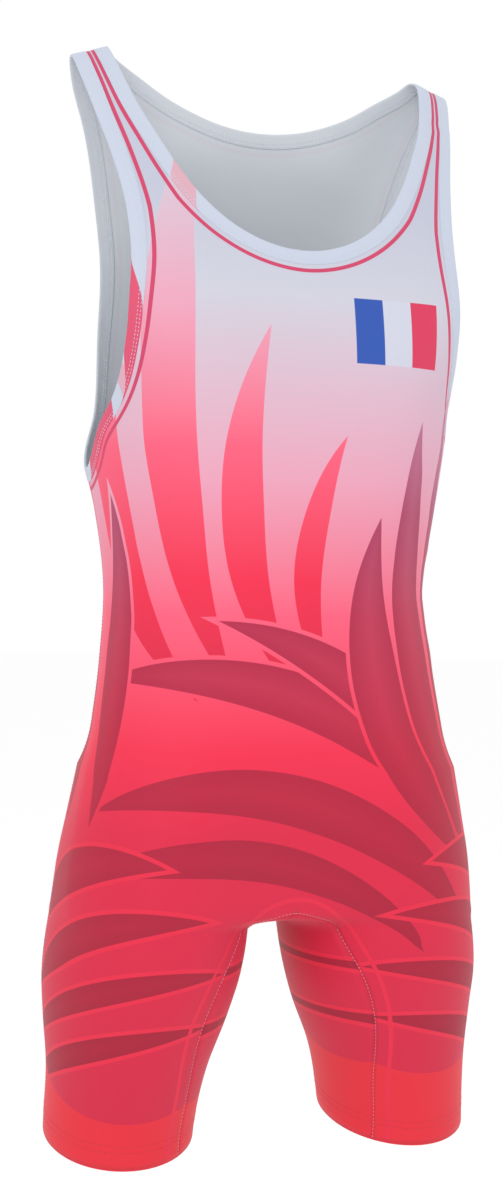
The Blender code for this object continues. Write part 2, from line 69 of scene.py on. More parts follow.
BODY_COLUMNS = ("height", "middle_y", "half_width", "front", "back", "squareness", "nape")
BODY_ROWS = (
    (0.030, 0.024, 0.178, -0.030, -0.020, 6.0, 0.90),
    (0.000, 0.024, 0.178, 0.000, 0.000, 6.0, 0.90),
    (-0.022, 0.023, 0.178, 0.0270, 0.0140, 6.0, 0.90),
    (-0.056, 0.020, 0.177, 0.0450, 0.0280, 6.5, 0.90),
    (-0.088, 0.017, 0.175, 0.0580, 0.0420, 7.0, 0.86),
    (-0.123, 0.013, 0.171, 0.0710, 0.0580, 7.5, 0.62),
    (-0.158, 0.009, 0.166, 0.0830, 0.0720, 7.5, 0.34),
    (-0.198, 0.005, 0.159, 0.0960, 0.0870, 6.5, 0.10),
    (-0.236, 0.004, 0.152, 0.1040, 0.0960, 5.0, 0.00),
    (-0.276, 0.008, 0.1455, 0.1110, 0.0950, 3.8, 0.00),
    (-0.310, 0.009, 0.1445, 0.1130, 0.0940, 3.2, 0.00),
    (-0.358, 0.001, 0.1355, 0.1060, 0.0950, 2.8, 0.00),
    (-0.418, -0.002, 0.128, 0.0960, 0.0920, 2.6, 0.00),
    (-0.478, -0.016, 0.133, 0.0830, 0.1040, 2.5, 0.00),
    (-0.550, -0.027, 0.143, 0.0770, 0.1270, 2.4, 0.00),
    (-0.598, -0.028, 0.148, 0.0720, 0.1350, 2.4, 0.00),
    (-0.636, -0.026, 0.150, 0.0680, 0.1190, 2.4, 0.00),
    (-0.656, -0.023, 0.145, 0.0680, 0.0900, 2.4, 0.00),
    (-0.668, -0.020, 0.139, 0.0600, 0.0620, 2.4, 0.00),
    (-0.676, -0.016, 0.132, 0.0000, 0.0000, 2.4, 0.00),
    (-0.715, -0.014, 0.126, -0.0900, -0.0900, 2.4, 0.00),
)
LEG_COLUMNS = ("height", "middle_x", "middle_y", "half_width", "half_depth")
LEG_ROWS = (
    (-0.558, 0.078, -0.014, 0.056, 0.080),
    (-0.618, 0.087, -0.012, 0.066, 0.091),
    (-0.678, 0.0935, -0.011, 0.0750, 0.094),
    (-0.718, 0.0985, -0.011, 0.0745, 0.088),
    (-0.748, 0.102, -0.009, 0.0695, 0.081),
    (-0.788, 0.108, -0.009, 0.0605, 0.071),
    (-0.828, 0.1125, -0.007, 0.0570, 0.064),
    (-0.888, 0.115, -0.006, 0.0565, 0.062),
)
NECKLINE = (
    (0.000, -0.082, -0.1655),
    (0.0289, -0.0795, -0.1605),
    (0.0547, -0.0735, -0.1467),
    (0.0758, -0.0643, -0.1263),
    (0.0919, -0.0525, -0.1017),
    (0.1051, -0.0386, -0.0755),
    (0.1170, -0.0234, -0.0486),
    (0.1260, -0.0040, -0.0180),
    (0.1300, 0.0180, 0.003),
    (0.1225, 0.0275, -0.001),
    (0.0990, 0.0283, -0.016),
    (0.0700, 0.0276, -0.032),
    (0.0350, 0.0290, -0.044),
    (0.000, 0.0300, -0.048),
)
ARMHOLE = (
    (0.1450, 0.014, -0.328),
    (0.1440, -0.008, -0.319),
    (0.1420, -0.0235, -0.299),
    (0.1360, -0.0470, -0.276),
    (0.1330, -0.0660, -0.246),
    (0.1325, -0.0752, -0.213),
    (0.1315, -0.0740, -0.176),
    (0.1325, -0.0590, -0.136),
    (0.1390, -0.0391, -0.096),
    (0.1488, -0.0178, -0.056),
    (0.1550, 0.000, -0.028),
    (0.1590, 0.024, -0.006),
    (0.1550, 0.036, -0.026),
    (0.1410, 0.047, -0.063),
    (0.1300, 0.062, -0.108),
    (0.1210, 0.075, -0.158),
    (0.1190, 0.084, -0.208),
    (0.1230, 0.085, -0.250),
    (0.1310, 0.071, -0.288),
    (0.1410, 0.042, -0.319),
)
INSEAM = (
    (0.0000, -0.091, -0.665),
    (0.0180, -0.087, -0.668),
    (0.0360, -0.079, -0.679),
    (0.0490, -0.080, -0.694),
    (0.0590, -0.085, -0.715),
    (0.0665, -0.084, -0.738),
    (0.0715, -0.078, -0.765),
    (0.0752, -0.0655, -0.800),
    (0.0790, -0.058, -0.840),
    (0.0790, -0.052, -0.878),
)
SIDE_SEAM_Y = -0.003
PAST_HEM, SIDE_POINTS = 0.04, 260       # how far the side seam's curve runs on, and its points

HEM_HEIGHT = -0.8405        # at the middle of the leg, on the slanting cut
HEM_RISE_INWARD = 0.020
HEM_RISE_BACK = 0.200
HEM_REACH = 0.200

CURVE_STEP = 0.002
RELAX_PASSES = 40
LONGEST_STEP = 0.008
PANEL_COLUMNS = 12          # cells across half of a panel, before the grid is made finer
LEG_STEPS, BODY_STEPS, CHEST_STEPS, STRAP_STEPS = 9, 16, 9, 18
SEAT_STEPS, BACK_STEPS, BACK_CHEST_STEPS, BACK_STRAP_STEPS = 8, 12, 13, 11
FINER = 4                   # finer cells along and across each cell of the coarse grid

SIDE_AT_CROTCH = -0.682
SIDE_UNDER_SEAT = -0.745
SEAT_TOP = -0.598
ARM_AT_NECK = -0.198
ARM_AT_NAPE = -0.118


class Table:
    """Rows of named columns, read at any height along a smooth curve through the rows."""

    def __init__(self, names, rows):
        data = np.array(sorted(rows))
        self.heights = data[:, 0]
        self.columns = dict(zip(names[1:], data[:, 1:].T))

    def at(self, name, height, squared=False):
        """One column at some heights, held level beyond the end rows, or its signed square."""
        knots, values = self.heights, self.columns[name]
        if squared:
            values = values * np.abs(values)
        slopes = np.gradient(values, knots)
        place = np.clip(height, knots[0], knots[-1])
        low = np.clip(np.searchsorted(knots, place) - 1, 0, len(knots) - 2)
        step = knots[low + 1] - knots[low]
        t = (place - knots[low]) / step
        across = values[low] * (1 + 2 * t) * (1 - t) ** 2 + values[low + 1] * t * t * (3 - 2 * t)
        return across + step * t * (1 - t) * (slopes[low] * (1 - t) - slopes[low + 1] * t)


BODY = Table(BODY_COLUMNS, BODY_ROWS)
LEG = Table(LEG_COLUMNS, LEG_ROWS)


def smooth_step(value):
    """0 below 0 and 1 above 1, with no corner between."""
    share = np.clip(value, 0, 1)
    return share * share * (3 - 2 * share)


def rounded_join(first, second, reach):
    """The smaller of two distances, with the crease between them filled over a reach."""
    near = np.maximum(reach - np.abs(first - second), 0) / reach
    return np.minimum(first, second) - near ** 2 * reach / 4


def from_section(x, y, half_width, depth_squared, squareness):
    """Distance outside the level cut y = depth * sqrt(1 - |x / half_width| ** squareness)."""
    reach = np.abs(x) / half_width
    beyond = np.where(depth_squared < 0, -1.0, 1.0)
    level = y * y - depth_squared * (1 - beyond * reach ** squareness)
    slope_x = depth_squared * squareness * reach ** (squareness - 1) / half_width / 2
    distance = level / (2 * np.sqrt(y * y + slope_x ** 2 + ROUNDING ** 2))
    return np.maximum(distance, np.abs(x) - half_width)


def from_body(x, y, z):
    """Distance outside the body, whose shoulders fall away towards the arms."""
    fall = SHOULDER_SLOPE * (np.hypot(x, SHOULDER_ROUND) - math.hypot(STRAP_X, SHOULDER_ROUND))
    height = z + fall * smooth_step(1 + z / SHOULDER_FADE)
    y = y - BODY.at("middle_y", height)
    hollow = BODY.at("nape", height) * np.exp(-(x / NAPE_WIDTH) ** 6)
    back = BODY.at("back", height, squared=True) * (1 - hollow)
    front = BODY.at("front", height, squared=True)
    depth_squared = np.where(y < 0, front, back)
    return from_section(x, y, BODY.at("half_width", height), depth_squared,
                        BODY.at("squareness", height))


def from_leg(x, y, z):
    """Distance outside the left leg, at +X, which stops inside the hips."""
    section = from_section(x - LEG.at("middle_x", z), y - LEG.at("middle_y", z),
                           LEG.at("half_width", z), LEG.at("half_depth", z, squared=True), 2.0)
    return section + np.maximum(z - LEG.heights[-1], 0)


def from_figure(points):
    """Distance outside the whole figure, for an array of points."""
    x, y, z = points[..., 0], points[..., 1], points[..., 2]
    legs = rounded_join(from_leg(x, y, z), from_leg(-x, y, z), CROTCH_BLEND)
    return rounded_join(from_body(x, y, z), legs, HIP_BLEND)


def slope_of_figure(points):
    """How the distance to the figure changes along X, Y and Z."""
    nudge = 1e-5
    steps = np.eye(3) * nudge
    return np.stack([(from_figure(points + s) - from_figure(points - s)) / (2 * nudge)
                     for s in steps], axis=-1)


def laid_on(points, passes=16):
    """Points moved straight onto the figure, by no more than LONGEST_STEP in each pass."""
    points = np.array(points, float)
    for _ in range(passes):
        slope = slope_of_figure(points)
        steepness = np.linalg.norm(slope, axis=-1, keepdims=True)
        step = from_figure(points)[..., None] / np.maximum(steepness, 0.1)
        points -= np.clip(step, -LONGEST_STEP, LONGEST_STEP) * slope / np.maximum(steepness, 1e-6)
    return points


def outward(points):
    """Unit directions straight out of the figure."""
    slope = slope_of_figure(points)
    return slope / np.linalg.norm(slope, axis=-1, keepdims=True)


def lengths_along(curve):
    """Running length at each point of a curve, from 0."""
    steps = np.linalg.norm(np.diff(curve, axis=0), axis=1)
    return np.concatenate([[0.0], np.cumsum(steps)])


def spread(curve, count):
    """A curve's points spaced evenly, one more than count."""
    run = lengths_along(curve)
    places = np.linspace(0, run[-1], count + 1)
    return np.stack([np.interp(places, run, curve[:, axis]) for axis in range(3)], axis=1)


def spline(before, start, end, after, t):
    """A place on a smooth curve from start to end, which also follows the points on each side."""
    return 0.5 * (2 * start + (end - before) * t
                  + (2 * before - 5 * start + 4 * end - after) * t ** 2
                  + (3 * start - before - 3 * end + after) * t ** 3)


def through(points, closed=False):
    """A smooth curve through a table's points, laid on the figure."""
    points = np.array(points, float)
    if closed:
        padded = np.vstack([points[-1:], points, points[:2]])
    else:
        mirror = np.array([-1.0, 1.0, 1.0])
        first = points[1] * mirror if points[0, 0] == 0 else 2 * points[0] - points[1]
        last = points[-2] * mirror if points[-1, 0] == 0 else 2 * points[-1] - points[-2]
        padded = np.vstack([first, points, last])
    pieces = []
    for before, start, end, after in zip(padded, padded[1:], padded[2:], padded[3:]):
        count = max(2, round(np.linalg.norm(end - start) / CURVE_STEP))
        t = np.linspace(0, 1, count, endpoint=False)[:, None]
        pieces.append(spline(before, start, end, after, t))
    return laid_on(np.vstack(pieces + [padded[-2:-1]]))


def beside(curve, distance, closed=False):
    """The curve that runs beside another on the figure, to its left seen from outside."""
    for _ in range(4):
        if closed:
            ahead = np.roll(curve[:-1], -1, axis=0) - np.roll(curve[:-1], 1, axis=0)
            ahead = np.vstack([ahead, ahead[:1]])
        else:
            ahead = np.gradient(curve, axis=0)
            for end in (0, -1):
                if abs(curve[end, 0]) < 1e-6:
                    ahead[end] = (1, 0, 0) if ahead[end, 0] > 0 else (-1, 0, 0)
        side = np.cross(outward(curve), ahead)
        side /= np.linalg.norm(side, axis=1, keepdims=True)
        curve = laid_on(curve + side * distance / 4, passes=4)
    return curve


def marks(curve, start, end, steps):
    """Places in a curve spaced evenly between two of its points."""
    run = lengths_along(curve)
    wanted = np.linspace(run[start], run[end], steps + 1)
    return [int(np.argmin(np.abs(run - place))) for place in wanted]


def nearest(curve, axis, value, first, last):
    """Place in a curve, between two others, where one coordinate comes nearest to a value."""
    return first + int(np.argmin(np.abs(curve[first:last, axis] - value)))


def hem_height(points):
    """Height of the slanting cut at the left leg's end above or below some points."""
    middle_x, middle_y = LEG.at("middle_x", HEM_HEIGHT), LEG.at("middle_y", HEM_HEIGHT)
    return (HEM_HEIGHT - HEM_RISE_INWARD * (points[..., 0] - middle_x)
            + HEM_RISE_BACK * (points[..., 1] - middle_y))


def cross_rows(starts, ends, middles, hem_shares, behind):
    """Evenly spaced points on the figure from one seam to the other, each row round its own
    upright line, level at the ends of the body and along the slant of the hem at the legs."""
    first = np.arctan2(starts[:, 1] - middles[:, 1], starts[:, 0] - middles[:, 0])
    last = np.arctan2(ends[:, 1] - middles[:, 1], ends[:, 0] - middles[:, 0])
    if behind:
        first = np.where(first < 0, first + 2 * math.pi, first)
    share = np.linspace(0, 1, PANEL_COLUMNS * 3 + 1)[None, :]

    def between(start, end):
        return start[:, None] * (1 - share) + end[:, None] * share

    angle = between(first, last)
    radius = between(np.hypot(*(starts - middles)[:, :2].T), np.hypot(*(ends - middles)[:, :2].T))
    height = between(starts[:, 2], ends[:, 2])
    hem_ends = between(hem_height(starts), hem_height(ends))
    rows = np.stack([middles[:, :1] + radius * np.cos(angle),
                     middles[:, 1:2] + radius * np.sin(angle), height], axis=2)
    for _ in range(4):
        rows[:, 1:-1] = laid_on(rows[:, 1:-1], passes=6)
        rows = np.array([spread(row, rows.shape[1] - 1) for row in rows])
        rows[..., 2] = height + hem_shares[:, None] * (hem_height(rows) - hem_ends)
        rows[:, 0], rows[:, -1] = starts, ends
    rows[:, 1:-1] = laid_on(rows[:, 1:-1], passes=8)
    return np.array([spread(row, PANEL_COLUMNS) for row in rows])


def turning_lines(starts, ends):
    """Where the upright line stands that a row turns about: in the leg, or in the body."""
    height = (starts[:, 2] + ends[:, 2]) / 2
    share = smooth_step((height - LEG_INTO_BODY) / TURN_OVER)
    middle_y = LEG.at("middle_y", height) * (1 - share) + BODY.at("middle_y", height) * share
    return np.stack([LEG.at("middle_x", height) * (1 - share), middle_y, 0 * height], axis=1)


def sheet_rows(stretches, behind):
    """Rows of a half panel, from stretches of points on its inner and its outer edge."""
    starts = np.vstack([stretches[0][0]] + [inner[1:] for inner, _ in stretches[1:]])
    ends = np.vstack([stretches[0][1]] + [outer[1:] for _, outer in stretches[1:]])
    clear = np.minimum(starts[:, 2], ends[:, 2]) - HEM_HEIGHT
    hem_shares = 1 - smooth_step(clear / HEM_REACH)
    return cross_rows(starts, ends, turning_lines(starts, ends), hem_shares, behind)


def down_to_hem(curve, rise=0.0):
    """A curve that comes down a leg, ended at the slanting cut or a little above it."""
    clear = curve[:, 2] - hem_height(curve) - rise
    last = int(np.argmax(clear < 0))
    share = clear[last - 1] / (clear[last - 1] - clear[last])
    end = curve[last - 1] + (curve[last] - curve[last - 1]) * share
    return laid_on(np.vstack([curve[:last], end]))


def centre_line(bottom, top, side):
    """The line up the middle of the front or the back, between two heights."""
    count = round((top - bottom) / CURVE_STEP)
    heights = np.linspace(bottom, top, count + 1)
    line = np.stack([0 * heights, 0 * heights + side * 0.1, heights], axis=1)
    for _ in range(8):
        line = laid_on(line, passes=4)
        line[:, 2] = heights
    return line


def side_line(start):
    """The side seam, from the bottom of the armhole past the leg's end."""
    heights = np.linspace(start[2], HEM_HEIGHT - PAST_HEM, SIDE_POINTS)
    over_hip = smooth_step((heights - LEG_INTO_BODY) / SIDE_OVER)
    leg = LEG.at("middle_x", heights) + LEG.at("half_width", heights)
    across = leg + (BODY.at("half_width", heights) - leg) * over_hip
    behind = np.linspace(start[1], SIDE_SEAM_Y, len(heights))
    line = laid_on(np.stack([across, behind, heights], axis=1))
    line[0] = start
    return line


def leg_stretches(side_top):
    """Inner and outer points of a panel's rows from the leg's end up to the crotch."""
    low_in = down_to_hem(inseam, FOLD_RADIUS)[-1:]
    low_out = down_to_hem(side_seam, FOLD_RADIUS)[-1:]
    above_in = down_to_hem(inseam, HEM_DEPTH)[::-1]
    above_out = down_to_hem(side_seam, HEM_DEPTH)[::-1]
    up_to = nearest(above_out, 2, side_top, 0, None)
    fold = np.vstack([low_in, above_in[:1]]), np.vstack([low_out, above_out[:1]])
    leg = spread(above_in, LEG_STEPS), spread(above_out[:up_to + 1], LEG_STEPS)
    return [fold, leg], above_out[up_to:]


neck_edge = through(NECKLINE)
arm_edge = through(ARMHOLE, closed=True)
neck_raw = beside(neck_edge, TUCK - BAND_WIDTH)
arm_raw = beside(arm_edge, BAND_WIDTH - TUCK, closed=True)
inseam = through(INSEAM)
side_seam = side_line(arm_raw[0])

ridge_neck, ridge_arm = int(np.argmax(neck_raw[:, 2])), int(np.argmax(arm_raw[:, 2]))
neck_at_seam = nearest(neck_raw, 1, SHOULDER_SEAM_Y, ridge_neck, ridge_neck + 20)
arm_at_seam = nearest(arm_raw, 1, SHOULDER_SEAM_Y, ridge_arm, ridge_arm + 20)
arm_level = nearest(arm_raw, 2, ARM_AT_NECK, 0, ridge_arm)

legs, side = leg_stretches(SIDE_AT_CROTCH)
middle = centre_line(inseam[0, 2], neck_raw[0, 2], -1)
chest = nearest(middle, 2, side[-1, 2], 0, None)
front_arm_marks = (marks(arm_raw, 0, arm_level, CHEST_STEPS)
                   + marks(arm_raw, arm_level, arm_at_seam, STRAP_STEPS)[1:])
front_neck_marks = marks(neck_raw, 0, neck_at_seam, STRAP_STEPS)
beside_arm = np.vstack([side[-1:], arm_raw[front_arm_marks[1:]]])
front_coarse = sheet_rows(legs + [
    (spread(middle[:chest + 1], BODY_STEPS), spread(side, BODY_STEPS)),
    (spread(middle[chest:], CHEST_STEPS), beside_arm[:CHEST_STEPS + 1]),
    (neck_raw[front_neck_marks], beside_arm[CHEST_STEPS:])], behind=False)


def finer_rows(grid, ring=False):
    """A grid with FINER rows for each of its own, along smooth curves through them."""
    if ring:
        padded = np.concatenate([grid[-1:], grid, grid[:2]])
    else:
        padded = np.concatenate([2 * grid[:1] - grid[1:2], grid, 2 * grid[-1:] - grid[-2:-1]])
    before, start, end, after = padded[:-3], padded[1:-2], padded[2:-1], padded[3:]
    finer = [spline(before, start, end, after, t) for t in np.arange(FINER) / FINER]
    joined = np.stack(finer, axis=1).reshape(-1, *grid.shape[1:])
    return joined if ring else np.concatenate([joined, grid[-1:]])


def refined(grid, corners=(), ring=False):
    """A grid made finer both ways and laid on the figure again. At the corner rows, where an
    edge of the panel turns sharply, the curves start afresh and don't round the corner off."""
    grid = np.moveaxis(finer_rows(np.moveaxis(grid, 1, 0)), 0, 1)
    stops = [0, *corners, len(grid) - 1]
    pieces = [finer_rows(grid[first:last + 1], ring) for first, last in zip(stops, stops[1:])]
    return laid_on(np.concatenate([piece[:-1] for piece in pieces[:-1]] + pieces[-1:]), passes=6)


# Soft drag lines where the stretched cloth is pulled: a ridge or a trough along a short line, by
# its start, its end, its half width, its height and whether the other side has it too
CREASES = (
    ((0.020, -0.100, -0.640), (0.100, -0.110, -0.590), 0.009, 0.0009, True),
    ((0.030, -0.095, -0.655), (0.115, -0.100, -0.622), 0.007, -0.0008, True),
    ((0.040, -0.085, -0.672), (0.125, -0.092, -0.655), 0.008, 0.0008, True),
    ((0.050, -0.080, -0.700), (0.130, -0.080, -0.694), 0.008, -0.0006, True),
    ((0.006, -0.100, -0.560), (0.030, -0.100, -0.640), 0.012, 0.0006, False),
    ((0.070, -0.090, -0.400), (0.132, -0.030, -0.384), 0.008, 0.0006, True),
    ((0.078, -0.085, -0.428), (0.134, -0.020, -0.420), 0.009, -0.0007, False),
    ((-0.066, -0.090, -0.436), (-0.134, -0.030, -0.448), 0.009, -0.0007, False),
    ((0.060, -0.090, -0.462), (0.134, -0.030, -0.470), 0.010, 0.0006, True),
    ((0.125, -0.060, -0.300), (0.085, -0.098, -0.345), 0.010, 0.0008, True),
    ((0.137, -0.045, -0.318), (0.105, -0.085, -0.372), 0.008, -0.0006, True),
    ((0.118, -0.020, -0.052), (0.150, -0.012, -0.044), 0.004, 0.0007, False),
    ((0.120, -0.014, -0.040), (0.150, -0.006, -0.036), 0.004, -0.0006, False),
    ((0.010, 0.085, -0.660), (0.090, 0.108, -0.640), 0.008, 0.0008, True),
    ((0.012, 0.080, -0.672), (0.105, 0.095, -0.668), 0.007, -0.0009, True),
    ((0.030, 0.070, -0.700), (0.125, 0.076, -0.694), 0.009, 0.0007, True),
    ((0.020, 0.088, -0.440), (0.120, 0.045, -0.425), 0.010, -0.0009, True),
    ((0.000, 0.088, -0.462), (0.110, 0.055, -0.456), 0.009, 0.0007, False),
    ((-0.030, 0.088, -0.474), (-0.120, 0.040, -0.480), 0.010, 0.0007, False),
    ((0.110, 0.080, -0.290), (0.060, 0.100, -0.350), 0.011, 0.0008, True),
    ((0.055, -0.060, -0.790), (0.130, -0.060, -0.778), 0.009, 0.0006, False),
    ((-0.060, -0.062, -0.760), (-0.135, -0.055, -0.772), 0.010, -0.0006, False),
)


def relief(points):
    """How far the drag lines raise or sink the cloth at some points."""
    raised = np.zeros(points.shape[:-1])
    for start, end, half_width, height, both_sides in CREASES:
        for side_sign in (1, -1) if both_sides else (1,):
            flip = np.array([side_sign, 1, 1])
            first, run = np.array(start) * flip, (np.array(end) - np.array(start)) * flip
            share = np.clip((points - first) @ run / (run @ run), 0, 1)
            away = np.linalg.norm(points - first - share[..., None] * run, axis=-1)
            taper = np.sin(np.pi * (0.08 + 0.84 * share)) ** 0.7
            raised += height * taper * np.exp(-(away / half_width) ** 2)
    return raised


def creased(points, out=0.0):
    """Points on the figure moved out by a distance and by the drag lines."""
    return points + outward(points) * (relief(points) + out)[..., None]


def away_from(points, curve):
    """Distance of each point to the nearest place on a curve."""
    starts, runs = curve[:-1], np.diff(curve, axis=0)
    squares = np.maximum((runs ** 2).sum(axis=1), 1e-18)
    flat = points.reshape(-1, 3)
    nearest_yet = np.full(len(flat), np.inf)
    for begin in range(0, len(flat), 2000):
        offset = flat[begin:begin + 2000, None] - starts[None]
        share = np.clip((offset * runs).sum(axis=2) / squares, 0, 1)
        gap = np.linalg.norm(offset - share[..., None] * runs, axis=2)
        nearest_yet[begin:begin + 2000] = gap.min(axis=1)
    return nearest_yet.reshape(points.shape[:-1])


def print_places(grid):
    """Where each point of a half panel lies on the printed cloth: level round from the centre
    line, and up."""
    steps = np.linalg.norm(np.diff(grid[..., :2], axis=1), axis=2)
    across = np.cumsum(np.concatenate([grid[:, :1, 0], steps], axis=1), axis=1)
    return np.stack([across, grid[..., 2], 0 * across], axis=2)


def quads(index):
    """Faces between the rows and columns of a grid of point numbers."""
    corners = index[:-1, :-1], index[:-1, 1:], index[1:, 1:], index[1:, :-1]
    return np.stack(corners, axis=2).reshape(-1, 4)


def on_both_sides(grid):
    """A half panel's points, faces and print places with those of the other half welded on."""
    rows, columns = grid.shape[:2]
    places = print_places(grid)
    fields = {"from_neck": away_from(grid, neck_edge), "from_arm": away_from(grid, arm_edge),
              "from_inseam": away_from(grid, inseam), "from_side": away_from(grid, side_seam),
              "above_hem": grid[..., 2] - hem_height(grid)}
    centre = np.abs(grid[:, 0, 0]) < 1e-5
    index = np.arange(rows * columns).reshape(rows, columns)
    other = index + rows * columns
    other[centre, 0] = index[centre, 0]
    faces = np.concatenate([quads(index), quads(other)[:, ::-1]])
    points = np.concatenate([creased(grid * (sign, 1, 1)).reshape(-1, 3) for sign in (1, -1)])
    printed = np.concatenate([(places * (sign, 1, 1)).reshape(-1, 3) for sign in (1, -1)])
    values = {name: np.tile(field.reshape(-1), 2) for name, field in fields.items()}
    used, faces = np.unique(faces, return_inverse=True)
    faces = faces.reshape(-1, 4)
    return points[used], faces, printed[used], {name: value[used] for name, value in values.items()}


def new_mesh(name, points, faces):
    """A smooth shaded mesh object at the origin."""
    mesh = bpy.data.meshes.new(name)
    mesh.from_pydata([tuple(point) for point in points], [], [tuple(face) for face in faces])
    mesh.shade_smooth()
    piece = bpy.data.objects.new(name, mesh)
    bpy.context.scene.collection.objects.link(piece)
    return piece


def record_fields(piece, printed, values):
    """Keep the place on the print and the distances to the seams on a mesh's points."""
    for name, value in values.items():
        layer = piece.data.attributes.new(name, "FLOAT", "POINT")
        layer.data.foreach_set("value", np.asarray(value, np.float32))
    layer = piece.data.attributes.new("printed", "FLOAT_VECTOR", "POINT")
    layer.data.foreach_set("vector", np.asarray(printed, np.float32).reshape(-1))


def apply_modifiers(piece):
    """Every modifier of a piece made part of its mesh, in order."""
    bpy.ops.object.select_all(action="DESELECT")
    bpy.context.view_layer.objects.active = piece
    piece.select_set(True)
    for modifier in list(piece.modifiers):
        bpy.ops.object.modifier_apply(modifier=modifier.name)
    piece.select_set(False)


def walled(name, points, faces, printed, values, offset):
    """A sheet with its wall: outwards from its points with an offset of 1, inwards with -1."""
    corner = points[faces[len(faces) // 4]]
    facing = np.cross(corner[1] - corner[0], corner[3] - corner[0])
    if np.dot(facing, outward(corner[0])) < 0:
        faces = faces[:, ::-1]
    piece = new_mesh(name, points, faces)
    record_fields(piece, printed, values)
    wall = piece.modifiers.new("wall", "SOLIDIFY")
    wall.thickness = CLOTH
    wall.offset = offset
    wall.use_even_offset = True
    apply_modifiers(piece)
    return piece


def turned_in(piece):
    """Which faces of a piece look towards the inside of the garment."""
    count = len(piece.data.polygons)
    normals, centres = np.zeros(count * 3), np.zeros(count * 3)
    piece.data.polygons.foreach_get("normal", normals)
    piece.data.polygons.foreach_get("center", centres)
    normals, centres = normals.reshape(-1, 3), centres.reshape(-1, 3)
    return (normals * outward(centres)).sum(axis=1) < -0.3


class Socket:
    """A node's output, on which + - * / and a few functions add Math nodes."""

    def __init__(self, cloth, output):
        self.cloth, self.output = cloth, output

    def math(self, operation, *others, clamp=False):
        settings = {"operation": operation, "use_clamp": clamp}
        return self.cloth.node("ShaderNodeMath", settings, dict(enumerate((self, *others))))

    def __add__(self, other):
        return self.math("ADD", other)

    def __sub__(self, other):
        return self.math("SUBTRACT", other)

    def __mul__(self, other):
        return self.math("MULTIPLY", other)

    def __truediv__(self, other):
        return self.math("DIVIDE", other)

    def __rsub__(self, other):
        return (self * -1).math("ADD", other)

    def __neg__(self):
        return self * -1

    __radd__, __rmul__ = __add__, __mul__

    def size(self):
        return self.math("ABSOLUTE")

    def sine(self):
        return self.math("SINE")

    def at_most(self, other):
        return self.math("MINIMUM", other)

    def at_least(self, other):
        return self.math("MAXIMUM", other)

    def edge(self, softness):
        """0 where negative and 1 where positive, over a softness in the socket's unit."""
        return self.math("MULTIPLY_ADD", 1 / softness, 0.5, clamp=True)


class Finish:
    """A material whose nodes are written as expressions on Socket values."""

    def __init__(self, name, roughness, sheen=0.0):
        self.material = bpy.data.materials.new(name)
        self.material.use_nodes = True
        self.nodes = self.material.node_tree.nodes
        self.shader = self.nodes["Principled BSDF"]
        for socket, value in (("Roughness", roughness), ("Sheen Weight", sheen),
                              ("Sheen Roughness", 0.5), ("Specular IOR Level", 0.3)):
            self.shader.inputs[socket].default_value = value

    def node(self, kind, settings, inputs, output=0):
        """A node of any type, with its settings first and then values or links."""
        made = self.nodes.new(kind)
        for name, value in settings.items():
            setattr(made, name, value)
        for place, value in inputs.items():
            if isinstance(value, Socket):
                self.material.node_tree.links.new(value.output, made.inputs[place])
            else:
                made.inputs[place].default_value = value
        return Socket(self, made.outputs[output])

    def field(self, name, output="Fac"):
        return self.node("ShaderNodeAttribute", {"attribute_name": name}, {}, output)

    def split(self, vector):
        made = self.node("ShaderNodeSeparateXYZ", {}, {0: vector})
        return [Socket(self, output) for output in made.output.node.outputs]

    def distance(self, vector, point):
        return self.node("ShaderNodeVectorMath", {"operation": "DISTANCE"},
                         {0: vector, 1: (*point, 0)}, "Value")

    def noise(self, vector, scale, detail=2.0):
        return self.node("ShaderNodeTexNoise", {},
                         {"Vector": vector, "Scale": scale, "Detail": detail}, "Fac")

    def mix(self, share, first, second):
        inputs = {0: share, 6: first, 7: second}
        return self.node("ShaderNodeMix", {"data_type": "RGBA"}, inputs, 2)

    def ramp(self, value, stops):
        """Colours along a value, from (place, colour) stops."""
        made = self.node("ShaderNodeValToRGB", {}, {0: value})
        elements = made.output.node.color_ramp.elements
        for extra in stops[2:]:
            elements.new(extra[0])
        for element, (place, colour) in zip(elements, stops):
            element.position, element.color = place, colour
        return made

    def finish(self, colour, height):
        """Link the colour, and a bump from a height in millimetres."""
        links = self.material.node_tree.links
        links.new(colour.output, self.shader.inputs["Base Color"])
        inputs = {"Strength": 0.3, "Distance": 0.001, "Height": height}
        bump = self.node("ShaderNodeBump", {}, inputs, "Normal")
        links.new(bump.output, self.shader.inputs["Normal"])
        return self.material


def srgb(red, green, blue):
    """A shader colour from an ink's red, green and blue as a screen shows it, each 0 to 255."""
    channels = [value / 255 for value in (red, green, blue)]
    return (*(c / 12.92 if c <= 0.04045 else ((c + 0.055) / 1.055) ** 2.4 for c in channels), 1)


WALE, COURSE = 0.0009, 0.0007           # one column and one row of knit loops
WALE_HEIGHT, COURSE_HEIGHT = 0.04, 0.03     # of the loops, in millimetres
LOOP_SLANT = 1.6


def knit_height(across, up):
    """Height in millimetres of the loops of fine knit: wales side by side, courses slanting in."""
    wale = (across * (2 * math.pi / WALE)).sine()
    slant = wale.size() * LOOP_SLANT
    course = (up * (2 * math.pi / COURSE) + slant).sine()
    return wale * WALE_HEIGHT + course * COURSE_HEIGHT


